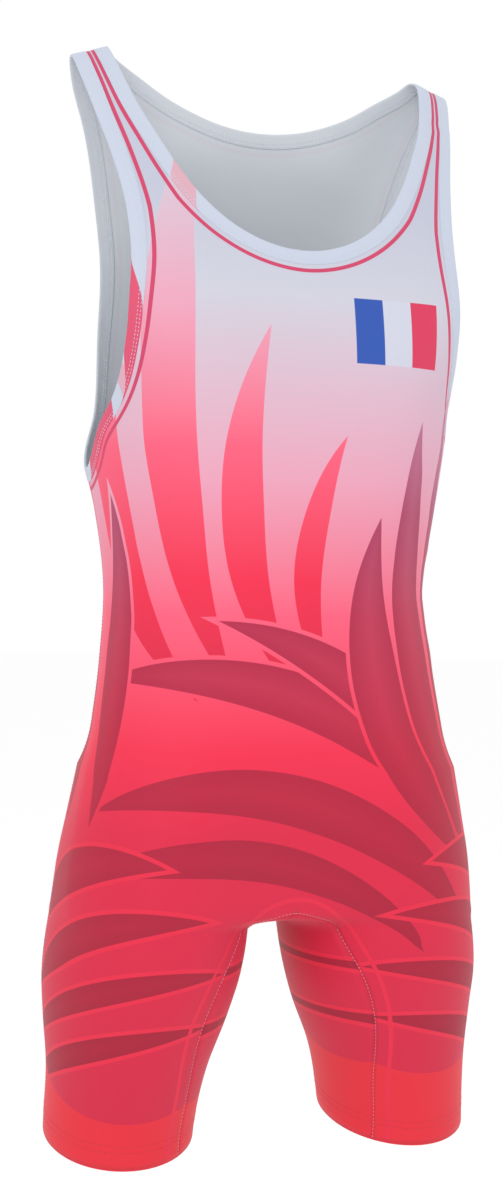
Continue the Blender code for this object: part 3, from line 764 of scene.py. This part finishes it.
# The print: cloth colour by height, whose top stop over the straps is painted shade, tall reeds a
# tone deeper, a fan of crimson palm leaves that rises from one hip, and shorter leaves round both
# thighs
LEG_RED, HIP_RED, WAIST_RED = srgb(192, 28, 60), srgb(206, 30, 64), srgb(224, 38, 70)
ROSE, PINK = srgb(230, 88, 116), srgb(216, 150, 172)
# The top stop is the white cloth drawn darker and greyer over the straps and shoulders: painted
# shade, not print.
CHEST_WHITE, STRAP_PAINTED_SHADE = srgb(190, 190, 202), srgb(178, 181, 197)
CLOTH_AND_SHADE_STOPS = ((-0.84, LEG_RED), (-0.60, HIP_RED), (-0.54, WAIST_RED), (-0.44, ROSE),
               (-0.34, PINK), (-0.20, CHEST_WHITE), (-0.12, STRAP_PAINTED_SHADE))
CRIMSON, PLUM, MAUVE = srgb(168, 22, 54), srgb(166, 34, 68), srgb(160, 58, 94)
LEAF_STOPS = ((-0.84, srgb(146, 14, 42)), (-0.54, CRIMSON), (-0.44, PLUM), (-0.36, MAUVE),
              (-0.28, srgb(176, 110, 140)))
REED_DROP = 0.125           # a reed has the colour of the cloth this much lower down
OUTLINE = 0.0032            # light edge round a leaf
LEAF_GLOW = 10.0            # how fast a leaf grows lighter away from its edge, per metre
VEIN_RED = srgb(214, 34, 64)
LINE_RED = srgb(192, 60, 97)
HEM_RED = srgb(212, 36, 52)
EDGE_SOFT = 0.0004          # how soft the edge of a printed shape is
SIDE_ACROSS = 0.222         # across, on the print, at the side seam of a thigh

# A shape is the space between two arcs that share their tips: across and up at each tip, and how
# far each arc bulges to the left of the way from the first tip to the second
REEDS = (
    (-0.080, -0.505, -0.154, -0.130, 0.072, 0.034),
    (-0.052, -0.500, -0.070, -0.055, 0.068, 0.026),
    (-0.006, -0.500, -0.030, -0.225, 0.048, 0.017),
    (0.020, -0.495, 0.030, -0.305, 0.034, 0.012),
)
FAN = (
    (0.108, -0.694, -0.180, -0.640, -0.060, -0.030),
    (0.150, -0.688, -0.166, -0.588, -0.078, -0.040),
    (0.150, -0.630, -0.158, -0.492, -0.074, -0.036),
    (0.150, -0.626, -0.065, -0.445, -0.052, -0.018),
    (0.150, -0.630, 0.060, -0.365, 0.062, 0.018),
    (0.165, -0.635, 0.098, -0.290, 0.050, 0.011),
    (0.187, -0.640, 0.140, -0.268, 0.036, 0.004),
    (0.214, -0.650, 0.172, -0.330, 0.026, -0.004),
    (-0.172, -0.600, -0.166, -0.350, -0.034, -0.004),
    (-0.222, -0.600, -0.205, -0.400, -0.026, 0.006),
)
THIGH_LEAVES = (
    (0.262, -0.690, 0.105, -0.625, -0.040, -0.010),
    (0.264, -0.740, 0.074, -0.664, -0.036, -0.012),
    (0.264, -0.784, 0.056, -0.706, -0.034, -0.014),
    (0.262, -0.820, 0.066, -0.746, -0.026, -0.008),
)


def beyond_arc(cloth, place, tips, bulge):
    """Distance past the arc that bulges to the left between two tips, positive on its right."""
    first, last = np.array(tips[:2]), np.array(tips[2:])
    chord = np.linalg.norm(last - first)
    left = np.array([first[1] - last[1], last[0] - first[0]]) / chord
    radius = (chord ** 2 / 4 + bulge ** 2) / (2 * abs(bulge))
    sign = math.copysign(1, bulge)
    centre = (first + last) / 2 + left * (bulge - sign * radius)
    return (radius - cloth.distance(place, centre)) * sign


def inside_shape(cloth, place, row):
    """How far inside a printed shape a place is, in metres, and negative outside it."""
    low, high = sorted(row[4:])
    return beyond_arc(cloth, place, row[:4], high).at_most(-beyond_arc(cloth, place, row[:4], low))


def leaves_over(cloth, colour, place, rows, light, ink):
    """A colour with leaves painted over it in turn, each with a light outline and middle."""
    for row in rows:
        inside = inside_shape(cloth, place, row)
        colour = cloth.mix((inside + OUTLINE).edge(EDGE_SOFT), colour, light)
        leaf = cloth.mix((inside * LEAF_GLOW).at_least(0.0), ink, light)
        colour = cloth.mix(inside.edge(EDGE_SOFT), colour, leaf)
    return colour


def by_height(cloth, level, stops):
    """A colour from a level, by stops that give a height and its colour."""
    lowest, highest = stops[0][0], stops[-1][0]
    shares = [((height - lowest) / (highest - lowest), colour) for height, colour in stops]
    return cloth.ramp((level - lowest) / (highest - lowest), shares)


FLAG_LEFT, FLAG_TOP = 0.0368, -0.2005
FLAG_WIDTH, FLAG_HEIGHT = 0.0695, 0.0500
FLAG_COLOURS = (srgb(40, 78, 164), srgb(192, 194, 209), srgb(202, 50, 84))
PRINTED_LINE = 0.0170       # from the free edge to the middle of the printed line
LINE_ON_STRAP, LINE_BY_WIDTH = 0.0085, 0.15     # nearer where the strap is narrow: start, share
LINE_WIDTH = 0.0032
INSEAM_LINE = 0.0115
RIGHT_ZONE, LEFT_ZONE = 0.037, 0.061        # plain red above each leg's end, at its lowest
ZONE_LOWEST, ZONE_BEND = 0.130, 2.2         # where across that is, and how fast the edge climbs


def strip_beside(distance, middle, width):
    """Whether a distance lies in a printed strip round a middle."""
    return (width / 2 - (distance - middle).size()).edge(EDGE_SOFT)


def edge_line(cloth):
    """Whether a place lies on the printed line beside the neckline or an armhole."""
    from_neck, from_arm = cloth.field("from_neck"), cloth.field("from_arm")
    middle = ((from_neck + from_arm) * LINE_BY_WIDTH + LINE_ON_STRAP).at_most(PRINTED_LINE)
    lines = [strip_beside(distance, middle, LINE_WIDTH) for distance in (from_neck, from_arm)]
    return lines[0].at_least(lines[1])


def printed_knit(name, is_front):
    """The outer face of a panel. Only the front has the flag and the line along the inseam."""
    cloth = Finish(name, roughness=0.60, sheen=0.06)
    place = cloth.field("printed", "Vector")
    across, up, _ = cloth.split(place)
    reed = inside_shape(cloth, place, REEDS[0])
    for row in REEDS[1:]:
        reed = reed.at_least(inside_shape(cloth, place, row))
    # These ramps include the painted shade of the top stop over the straps and shoulders.
    plain, ink = by_height(cloth, up, CLOTH_AND_SHADE_STOPS), by_height(cloth, up, LEAF_STOPS)
    colour = by_height(cloth, up - reed.edge(EDGE_SOFT) * REED_DROP, CLOTH_AND_SHADE_STOPS)
    colour = leaves_over(cloth, colour, place, FAN, plain, ink)
    on_thigh = across.size() if is_front else SIDE_ACROSS - cloth.field("from_side")
    thigh = cloth.node("ShaderNodeCombineXYZ", {}, {0: on_thigh, 1: up})
    if not is_front:
        *tips, _, lower_bulge = THIGH_LEAVES[0]
        under_leaf = -beyond_arc(cloth, thigh, tips, lower_bulge)
        colour = cloth.mix(under_leaf.edge(EDGE_SOFT), colour, plain)
    colour = leaves_over(cloth, colour, thigh, THIGH_LEAVES, VEIN_RED, ink)
    sideways = across.size() - ZONE_LOWEST
    lowest = across.edge(EDGE_SOFT) * (LEFT_ZONE - RIGHT_ZONE) + RIGHT_ZONE
    zone_top = sideways * sideways * ZONE_BEND + lowest
    zone = (zone_top - cloth.field("above_hem")).edge(EDGE_SOFT)
    colour = cloth.mix(zone, colour, HEM_RED)
    if is_front:
        line = strip_beside(cloth.field("from_inseam"), INSEAM_LINE, LINE_WIDTH)
        colour = cloth.mix(line, colour, VEIN_RED)
        middle_across = FLAG_LEFT + FLAG_WIDTH / 2
        inside = (FLAG_WIDTH / 2 - (across - middle_across).size()).at_most(
            FLAG_HEIGHT / 2 - (up - FLAG_TOP + FLAG_HEIGHT / 2).size()).edge(EDGE_SOFT)
        past_blue = (across - FLAG_LEFT - FLAG_WIDTH / 3).edge(EDGE_SOFT)
        past_white = (across - FLAG_LEFT - FLAG_WIDTH * 2 / 3).edge(EDGE_SOFT)
        stripes = cloth.mix(past_white, cloth.mix(past_blue, *FLAG_COLOURS[:2]), FLAG_COLOURS[2])
        colour = cloth.mix(inside, colour, stripes)
    colour = cloth.mix(edge_line(cloth), colour, LINE_RED)
    return cloth.finish(colour, knit_height(across, up))


REVERSE_GREY, REVERSE_PINK = srgb(191, 195, 202), srgb(190, 158, 170)
SHOW_THROUGH = 0.12         # how much of a printed line shows on the back of the cloth


def knit_reverse(name):
    """The unprinted back of the cloth, grey in the shade, where the print just shows through."""
    cloth = Finish(name, roughness=0.75)
    across, up, _ = cloth.split(cloth.field("printed", "Vector"))
    colour = cloth.mix(edge_line(cloth) * SHOW_THROUGH, REVERSE_GREY, REVERSE_PINK)
    return cloth.finish(colour, knit_height(across, up))


def backed(piece, outer, inner):
    """Give a piece its outer finish, and its inner one on the faces that look into the suit."""
    piece.data.materials.append(outer)
    piece.data.materials.append(inner)
    piece.data.polygons.foreach_set("material_index", turned_in(piece).astype(np.int32))


def sewn_in(piece, slot, *packed_names):
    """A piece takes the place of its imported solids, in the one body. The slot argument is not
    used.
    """
    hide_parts(*packed_names)
    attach(piece, "root")


CROTCH_ROW = LEG_STEPS + 1
ARMHOLE_ROW = CROTCH_ROW + BODY_STEPS
front_fine = refined(front_coarse, (CROTCH_ROW, ARMHOLE_ROW, ARMHOLE_ROW + CHEST_STEPS))
plain_inside = knit_reverse("knit_reverse")
front = walled("front", *on_both_sides(front_fine), offset=1)
backed(front, printed_knit("printed_front_knit", is_front=True), plain_inside)
sewn_in(front, "body_knit", "front_panel", "front_leg_left", "front_leg_right")

# ---- Back panel --------------------------------------------------------------------------------
# The same cloth and print, in one piece from the shoulder seams down, under the crotch and to the
# backs of the legs. It is sewn to the front at the shoulders, the sides and round the inseam.


def relaxed(rows, first, last):
    """Rows with the points between two of them evened out both ways over the figure."""
    window = rows[first:last + 1]
    for _ in range(RELAX_PASSES):
        window[1:-1, 1:-1] = laid_on((window[:-2, 1:-1] + window[2:, 1:-1]
                                      + window[1:-1, :-2] + window[1:-1, 2:]) / 4, passes=2)
    return rows


def line_under_crotch(start, top):
    """The middle line from the top of the inseam under the crotch and up to a height behind."""
    first = math.atan2(start[2] - top, start[1])
    angles = np.linspace(first, 0, 60)
    reach = np.linalg.norm(start - (0.0, 0.0, top))
    line = np.stack([0 * angles, reach * np.cos(angles), top + reach * np.sin(angles)], axis=1)
    line = laid_on(line)
    line[0] = start
    return line


EVENED_ROWS = 4, LEG_STEPS + SEAT_STEPS + 5     # from inside the leg to above the seat
nape, under_arm = len(neck_raw) - 1, len(arm_raw) - 1
arm_level = nearest(arm_raw, 2, ARM_AT_NAPE, arm_at_seam, under_arm)
legs, side = leg_stretches(SIDE_UNDER_SEAT)
under = line_under_crotch(inseam[0], SEAT_TOP)
middle = centre_line(SEAT_TOP, neck_raw[-1, 2], 1)
seat = nearest(side, 2, SEAT_TOP, 0, None)
chest = nearest(middle, 2, side[-1, 2], 0, None)
back_arm_marks = (marks(arm_raw, arm_at_seam, arm_level, BACK_STRAP_STEPS)
                  + marks(arm_raw, arm_level, under_arm, BACK_CHEST_STEPS)[1:])
back_neck_marks = marks(neck_raw, neck_at_seam, nape, BACK_STRAP_STEPS)
beside_arm = np.vstack([side[-1:], arm_raw[back_arm_marks[::-1][1:]]])
back_coarse = relaxed(sheet_rows(legs + [
    (spread(under, SEAT_STEPS), spread(side[:seat + 1], SEAT_STEPS)),
    (spread(middle[:chest + 1], BACK_STEPS), spread(side[seat:], BACK_STEPS)),
    (spread(middle[chest:], BACK_CHEST_STEPS), beside_arm[:BACK_CHEST_STEPS + 1]),
    (neck_raw[back_neck_marks[::-1]], beside_arm[BACK_CHEST_STEPS:])], behind=True),
    *EVENED_ROWS)

back_armhole_row = CROTCH_ROW + SEAT_STEPS + BACK_STEPS
back_fine = refined(back_coarse,
                    (CROTCH_ROW, back_armhole_row, back_armhole_row + BACK_CHEST_STEPS))
back = walled("back", *on_both_sides(back_fine), offset=1)
backed(back, printed_knit("printed_back_knit", is_front=False), plain_inside)
sewn_in(back, "body_knit", "back_panel", "back_leg_left", "back_leg_right")

# ---- Bindings on the neck and the armholes -----------------------------------------------------
# Strips of the same knit in white, folded double over the raw edge and sewn through with two rows
# of cover stitch, so each is soft and round at the free edge and dimpled along its stitches.

BAND_SINK = 0.0006          # how far a binding reaches inside the face of the panels
BAND_PROUD = 0.0018         # how far it stands out from that face
STITCH_ROWS = (0.0080, 0.0104)   # from the free edge
STITCH_DIMPLE = 0.00022
BAND_PROFILE = 14           # points across the outer face

BAND_ROUND = 0.0016         # of the folded edge
BAND_LIP = 0.0008           # over which the sewn edge comes down to the panel
LIP_DROP = 0.35             # how much of its half thickness it comes down there
DIMPLE_WIDTH = 0.0007

# Coloured blocks of the print on a binding: from and to, in metres along it from the middle of the
# front, or up the front edge from the bottom of an armhole, then how much they slant, and the ink
BLOCK_RED, BLOCK_PALE = srgb(206, 76, 106), srgb(204, 158, 172)
NECK_BLOCKS = ((-0.128, -0.098, 1.5, BLOCK_PALE),)
ARMHOLE_BLOCKS = {"left": ((0.024, 0.079, -1.0, BLOCK_RED), (0.094, 0.110, -1.0, BLOCK_PALE)),
                  "right": ((0.020, 0.080, -1.0, BLOCK_RED), (0.096, 0.112, -1.0, BLOCK_PALE),
                            (0.124, 0.190, -3.5, BLOCK_RED))}

ring_names = {"neck": (neck_edge, -1, front_neck_marks + back_neck_marks[1:]),
              "arm": (arm_edge, 1, (front_arm_marks + back_arm_marks[1:])[:-1])}


def band_sections(name, ring):
    """A binding's sections on the figure, round the outer face from the free edge and back along
    the inner, and how far out each of their points stands."""
    edge, side_sign, places = ring_names[name]
    lower = beside(edge, side_sign * BAND_WIDTH, closed=ring)
    coarse = np.stack([edge[places], (edge[places] + lower[places]) / 2, lower[places]], axis=1)
    strip = refined(laid_on(coarse), ring=ring)
    if not ring:
        strip[[0, -1], :, 0] = 0.0
    free, sewn = strip[:, 0], strip[:, -1]
    share = (1 - np.cos(np.linspace(0, np.pi, BAND_PROFILE))) / 2
    depth = share * BAND_WIDTH
    turned = np.clip(1 - depth / BAND_ROUND, 0, 1)
    rounded = np.sqrt(1 - turned ** 2)
    near_seam = np.clip((depth - BAND_WIDTH) / BAND_LIP + 1, 0, 1)
    dimple = sum(STITCH_DIMPLE * np.exp(-((depth - row) / DIMPLE_WIDTH) ** 2)
                 for row in STITCH_ROWS)
    middle_height = (BAND_PROUD - BAND_SINK) / 2
    half = (BAND_PROUD + BAND_SINK) / 2
    outer = middle_height + half * (rounded - LIP_DROP * near_seam ** 2) - dimple
    inner = middle_height - half * rounded
    loop_share = np.concatenate([share, share[-2:0:-1]])
    loop_height = np.concatenate([outer, inner[-2:0:-1]])
    base = free[:, None] + (sewn - free)[:, None] * loop_share[None, :, None]
    return laid_on(base, passes=4), loop_height


def tube(name, base, heights):
    """A binding as a closed skin over a ring of closed sections, with its print places."""
    rows, columns = base.shape[:2]
    index = np.arange(rows * columns).reshape(rows, columns)
    index = np.pad(index, ((0, 1), (0, 1)), mode="wrap")
    sections = creased(base, out=np.broadcast_to(heights, (rows, columns)))
    piece = new_mesh(name, sections.reshape(-1, 3), quads(index))
    along = lengths_along(sections[:, 0])
    over = np.linspace(0, 2 * BAND_WIDTH, columns)
    places = np.stack(np.broadcast_arrays(along[:, None], over[None], 0.0), axis=2)
    record_fields(piece, places, {})
    bpy.context.view_layer.objects.active = piece
    piece.select_set(True)
    bpy.ops.object.mode_set(mode="EDIT")
    bpy.ops.mesh.select_all(action="SELECT")
    bpy.ops.mesh.normals_make_consistent(inside=False)
    bpy.ops.object.mode_set(mode="OBJECT")
    piece.select_set(False)
    return piece


BAND_WHITE = srgb(186, 193, 208)


def binding_knit(name, blocks, middle_front=0.0):
    """White knit of a binding, with blocks of the print's colours where the reeds run out on it."""
    cloth = Finish(name, roughness=0.68, sheen=0.10)
    place = cloth.field("printed", "Vector")
    along, over, _ = cloth.split(place)
    colour = cloth.mix(cloth.noise(place, 60.0) * 0.3, BAND_WHITE, srgb(178, 186, 204))
    for start, end, slant, ink in blocks:
        middle = along - over * slant - middle_front - (start + end) / 2
        colour = cloth.mix(((end - start) / 2 - middle.size()).edge(EDGE_SOFT), colour, ink)
    return cloth.finish(colour, knit_height(over, along))


half_base, heights = band_sections("neck", ring=False)
neck_base = np.concatenate([half_base[::-1] * (-1, 1, 1), half_base[1:-1]])
neck_binding = tube("neck_binding", neck_base, heights)
half_round = lengths_along(neck_edge)[-1]
backed(neck_binding, binding_knit("neck_binding_knit", NECK_BLOCKS, half_round), plain_inside)
sewn_in(neck_binding, "band_knit", "neck_band")

arm_base, heights = band_sections("arm", ring=True)
for side_name, side_sign in (("left", 1), ("right", -1)):
    binding = tube("armhole_binding_" + side_name, arm_base * (side_sign, 1, 1), heights)
    blocks = ARMHOLE_BLOCKS[side_name]
    backed(binding, binding_knit("armhole_binding_knit_" + side_name, blocks), plain_inside)
    sewn_in(binding, "band_knit", "armhole_band_" + side_name)

# ---- Leg hems ----------------------------------------------------------------------------------
# The last 20 mm of each leg turned up inside and held by a twin-needle row. The fold is round, so
# the turned-up cloth starts at the outer face of the panels and comes up behind them.

FOLD_POINTS = 7
HEM_ROWS = 8
hem_loop = np.vstack([front_fine[0], back_fine[0][-2:0:-1]])


def hem_rings(loop):
    """Rings of the turned-up cloth's skin: the outer face, under the fold and up the inside."""
    middle = CLOTH - FOLD_RADIUS
    rings = []
    for angle in np.linspace(0, math.pi, FOLD_POINTS):
        ring = creased(loop, out=middle + FOLD_RADIUS * math.cos(angle))
        rings.append(ring - np.array([0, 0, FOLD_RADIUS * math.sin(angle)]))
    for rise in np.linspace(0, HEM_DEPTH, HEM_ROWS)[1:]:
        lifted = laid_on(loop + np.array([0, 0, rise]), passes=4)
        rings.append(creased(lifted, out=middle - FOLD_RADIUS))
    return np.stack(rings, axis=1)


def hem_knit(name):
    """The printed face of the cloth in plain red, which is what a turned-up hem shows."""
    cloth = Finish(name, roughness=0.60, sheen=0.06)
    place = cloth.field("printed", "Vector")
    along, over, _ = cloth.split(place)
    colour = cloth.mix(cloth.noise(place, 40.0) * 0.2, HEM_RED, srgb(210, 44, 62))
    return cloth.finish(colour, knit_height(along, over))


red_knit = hem_knit("hem_knit")
for side_name, side_sign in (("left", 1), ("right", -1)):
    rings = hem_rings(hem_loop * (side_sign, 1, 1))
    index = np.arange(rings.shape[0] * rings.shape[1]).reshape(rings.shape[:2])
    around, over = lengths_along(rings[:, 0]), lengths_along(rings[0])
    places = np.stack(np.broadcast_arrays(around[:, None], over[None], 0.0), axis=2)
    faces = quads(np.pad(index, ((0, 1), (0, 0)), mode="wrap"))
    hem = walled("hem_" + side_name, rings.reshape(-1, 3), faces, places.reshape(-1, 3), {},
                 offset=-1)
    hem.data.materials.append(red_knit)
    sewn_in(hem, "hem_knit", "leg_hem_" + side_name)

# ---- Stitching ---------------------------------------------------------------------------------
# Fine thread lying on the cloth: two rows of cover stitch on the bindings, a twin-needle row above
# each hem, and one row along the side seams, the inseams and the shoulder seams.

THREAD = 0.00028            # half the thickness of a stitch
STITCH_PITCH, STITCH_LENGTH = 0.0029, 0.0021
HEM_STITCH_RISES = (0.0140, 0.0190)


def stitch_row(curve, out):
    """Points and faces of separate stitches spaced evenly along a curve on the figure."""
    run = lengths_along(curve)
    count = int(run[-1] / STITCH_PITCH)
    starts = np.linspace(0, run[-1], count, endpoint=False)

    def at(places):
        return np.stack([np.interp(places, run, curve[:, axis]) for axis in range(3)], axis=1)

    first, last = at(starts), at(np.minimum(starts + STITCH_LENGTH, run[-1]))
    up = outward((first + last) / 2)
    side = np.cross(up, last - first)
    side /= np.linalg.norm(side, axis=1, keepdims=True)
    ends = creased(first, out=out), creased(last, out=out)
    points = [ends[0] - up * THREAD]
    for share in (0.2, 0.8):
        centre = ends[0] * (1 - share) + ends[1] * share
        points += [centre + side * THREAD, centre + up * THREAD,
                   centre - side * THREAD, centre - up * THREAD]
    points.append(ends[1] - up * THREAD)
    faces = []
    for corner in range(4):
        after = (corner + 1) % 4
        faces += [(0, 1 + after, 1 + corner, 1 + corner),
                  (1 + corner, 1 + after, 5 + after, 5 + corner),
                  (9, 5 + corner, 5 + after, 5 + after)]
    faces = np.array(faces)[None] + len(points) * np.arange(count)[:, None, None]
    return np.stack(points, axis=1).reshape(-1, 3), faces.reshape(-1, 4)


def stitching(name, rows, thread):
    """One piece of many stitches, from rows that give a curve and how far out it lies."""
    points, faces, total = [], [], 0
    for curve, out in rows:
        row_points, row_faces = stitch_row(curve, out)
        points.append(row_points)
        faces += [tuple(dict.fromkeys(face)) for face in (row_faces + total).tolist()]
        total += len(row_points)
    piece = new_mesh(name, np.concatenate(points), faces)
    piece.data.materials.append(thread)
    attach(piece, "root")
    return piece


def thread_finish(name, ink):
    """Spun polyester thread, a little glossier than the cloth, with its twist, drawn darker where
    the twist bump is low as painted shade in its grooves.
    """
    cloth = Finish(name, roughness=0.45, sheen=0.2)
    place = cloth.node("ShaderNodeTexCoord", {}, {}, "Object")
    twist_and_groove_shade = cloth.noise(place, 2600.0, 1.0)
    # Darker colour where the twist bump is low: painted shade in the thread's grooves.
    colour = cloth.mix(twist_and_groove_shade, tuple(0.8 * channel for channel in ink[:3]) + (1,), ink)
    return cloth.finish(colour, twist_and_groove_shade * 0.1)


white_thread = thread_finish("white_thread", srgb(206, 212, 226))
red_thread = thread_finish("red_thread", srgb(196, 40, 62))
pale_thread = thread_finish("pale_thread", srgb(232, 150, 168))


def on_other_side(curve):
    return curve * (-1, 1, 1)


neck_rows, arm_rows = [], {"left": [], "right": []}
for depth in STITCH_ROWS:
    half = beside(neck_edge, -depth)
    loop = np.concatenate([half, on_other_side(half[-2::-1])])
    arm_loop = beside(arm_edge, depth, closed=True)
    for out in (BAND_PROUD - STITCH_DIMPLE, -BAND_SINK):
        neck_rows.append((loop, out))
        arm_rows["left"].append((arm_loop, out))
        arm_rows["right"].append((on_other_side(arm_loop), out))
neck_stitching = stitching("neck_stitching", neck_rows, white_thread)

seam_rows = []
shoulder = front_fine[-1]
for side_name, side_sign in (("left", 1), ("right", -1)):
    flip = np.array([side_sign, 1, 1])
    arm_stitching = stitching("armhole_stitching_" + side_name, arm_rows[side_name],
                              white_thread)
    closed_loop = np.vstack([hem_loop, hem_loop[:1]]) * flip
    rows = [(laid_on(closed_loop + (0, 0, rise - FOLD_RADIUS), passes=4), CLOTH)
            for rise in HEM_STITCH_RISES]
    hem_stitching = stitching("hem_stitching_" + side_name, rows, red_thread)
    for seam in (down_to_hem(inseam, FOLD_RADIUS), down_to_hem(side_seam, FOLD_RADIUS), shoulder):
        seam_rows.append((seam * flip, CLOTH))
seam_stitching = stitching("seam_stitching", seam_rows, pale_thread)

# ---- Setting: floor, light and camera ------------------------------------------------------------
# A plain pale floor a leg's length below the hems, one wide soft light from the front, a softer
# one from the other side, and an even white surround.

FLOOR_HEIGHT = -1.45
bpy.ops.object.select_all(action="DESELECT")
bpy.ops.mesh.primitive_circle_add(vertices=64, radius=30, fill_type="NGON",
                                  location=(0, 0, FLOOR_HEIGHT))
floor = bpy.context.active_object
floor.name = "floor"
paint = Finish("floor_paint", roughness=0.9)
paint.shader.inputs["Base Color"].default_value = (0.985, 0.985, 0.985, 1)
floor.data.materials.append(paint.material)
floor.select_set(False)


def soft_light(name, place, size, power, aim=(0, 0, -0.42)):
    """A square area light turned towards a point."""
    lamp = bpy.data.lights.new(name, "AREA")
    lamp.size, lamp.energy = size, power
    light = bpy.data.objects.new(name, lamp)
    bpy.context.scene.collection.objects.link(light)
    light.location = place
    towards = np.array(aim) - np.array(place)
    light.rotation_euler = (math.atan2(math.hypot(towards[0], towards[1]), -towards[2]), 0,
                            math.atan2(towards[1], towards[0]) - math.pi / 2)


soft_light("key", (-1.9, -2.6, 1.2), 2.2, 34)
soft_light("fill", (2.2, -2.2, 0.3), 2.0, 8)

world = bpy.data.worlds.new("surround")
world.use_nodes = True
world.node_tree.nodes["Background"].inputs["Color"].default_value = (1, 1, 1, 1)
world.node_tree.nodes["Background"].inputs["Strength"].default_value = 1.0
bpy.context.scene.world = world
bpy.context.scene.view_settings.view_transform = "Standard"

CAMERA_TURN = math.radians(-18)     # round from straight in front, towards the wearer's right
CAMERA_DISTANCE = 1.34
CAMERA_HEIGHT = -0.429
CAMERA_SHIFT = 0.0092               # to the side, so that the frame has the garment where it is
CAMERA_ROLL = math.radians(1.0)
PICTURE_HEIGHT, FOCAL_PIXELS = 1200, 1675

lens = bpy.data.cameras.new("camera")
lens.sensor_fit = "VERTICAL"
lens.sensor_height = 36
lens.lens = 36 * FOCAL_PIXELS / PICTURE_HEIGHT
camera = bpy.data.objects.new("camera", lens)
bpy.context.scene.collection.objects.link(camera)
sine, cosine = math.sin(CAMERA_TURN), math.cos(CAMERA_TURN)
camera.location = (CAMERA_DISTANCE * sine - CAMERA_SHIFT * cosine,
                   -CAMERA_DISTANCE * cosine - CAMERA_SHIFT * sine, CAMERA_HEIGHT)
camera.rotation_mode = "XYZ"
camera.rotation_euler = (math.pi / 2, -CAMERA_ROLL, CAMERA_TURN)
bpy.context.scene.camera = camera
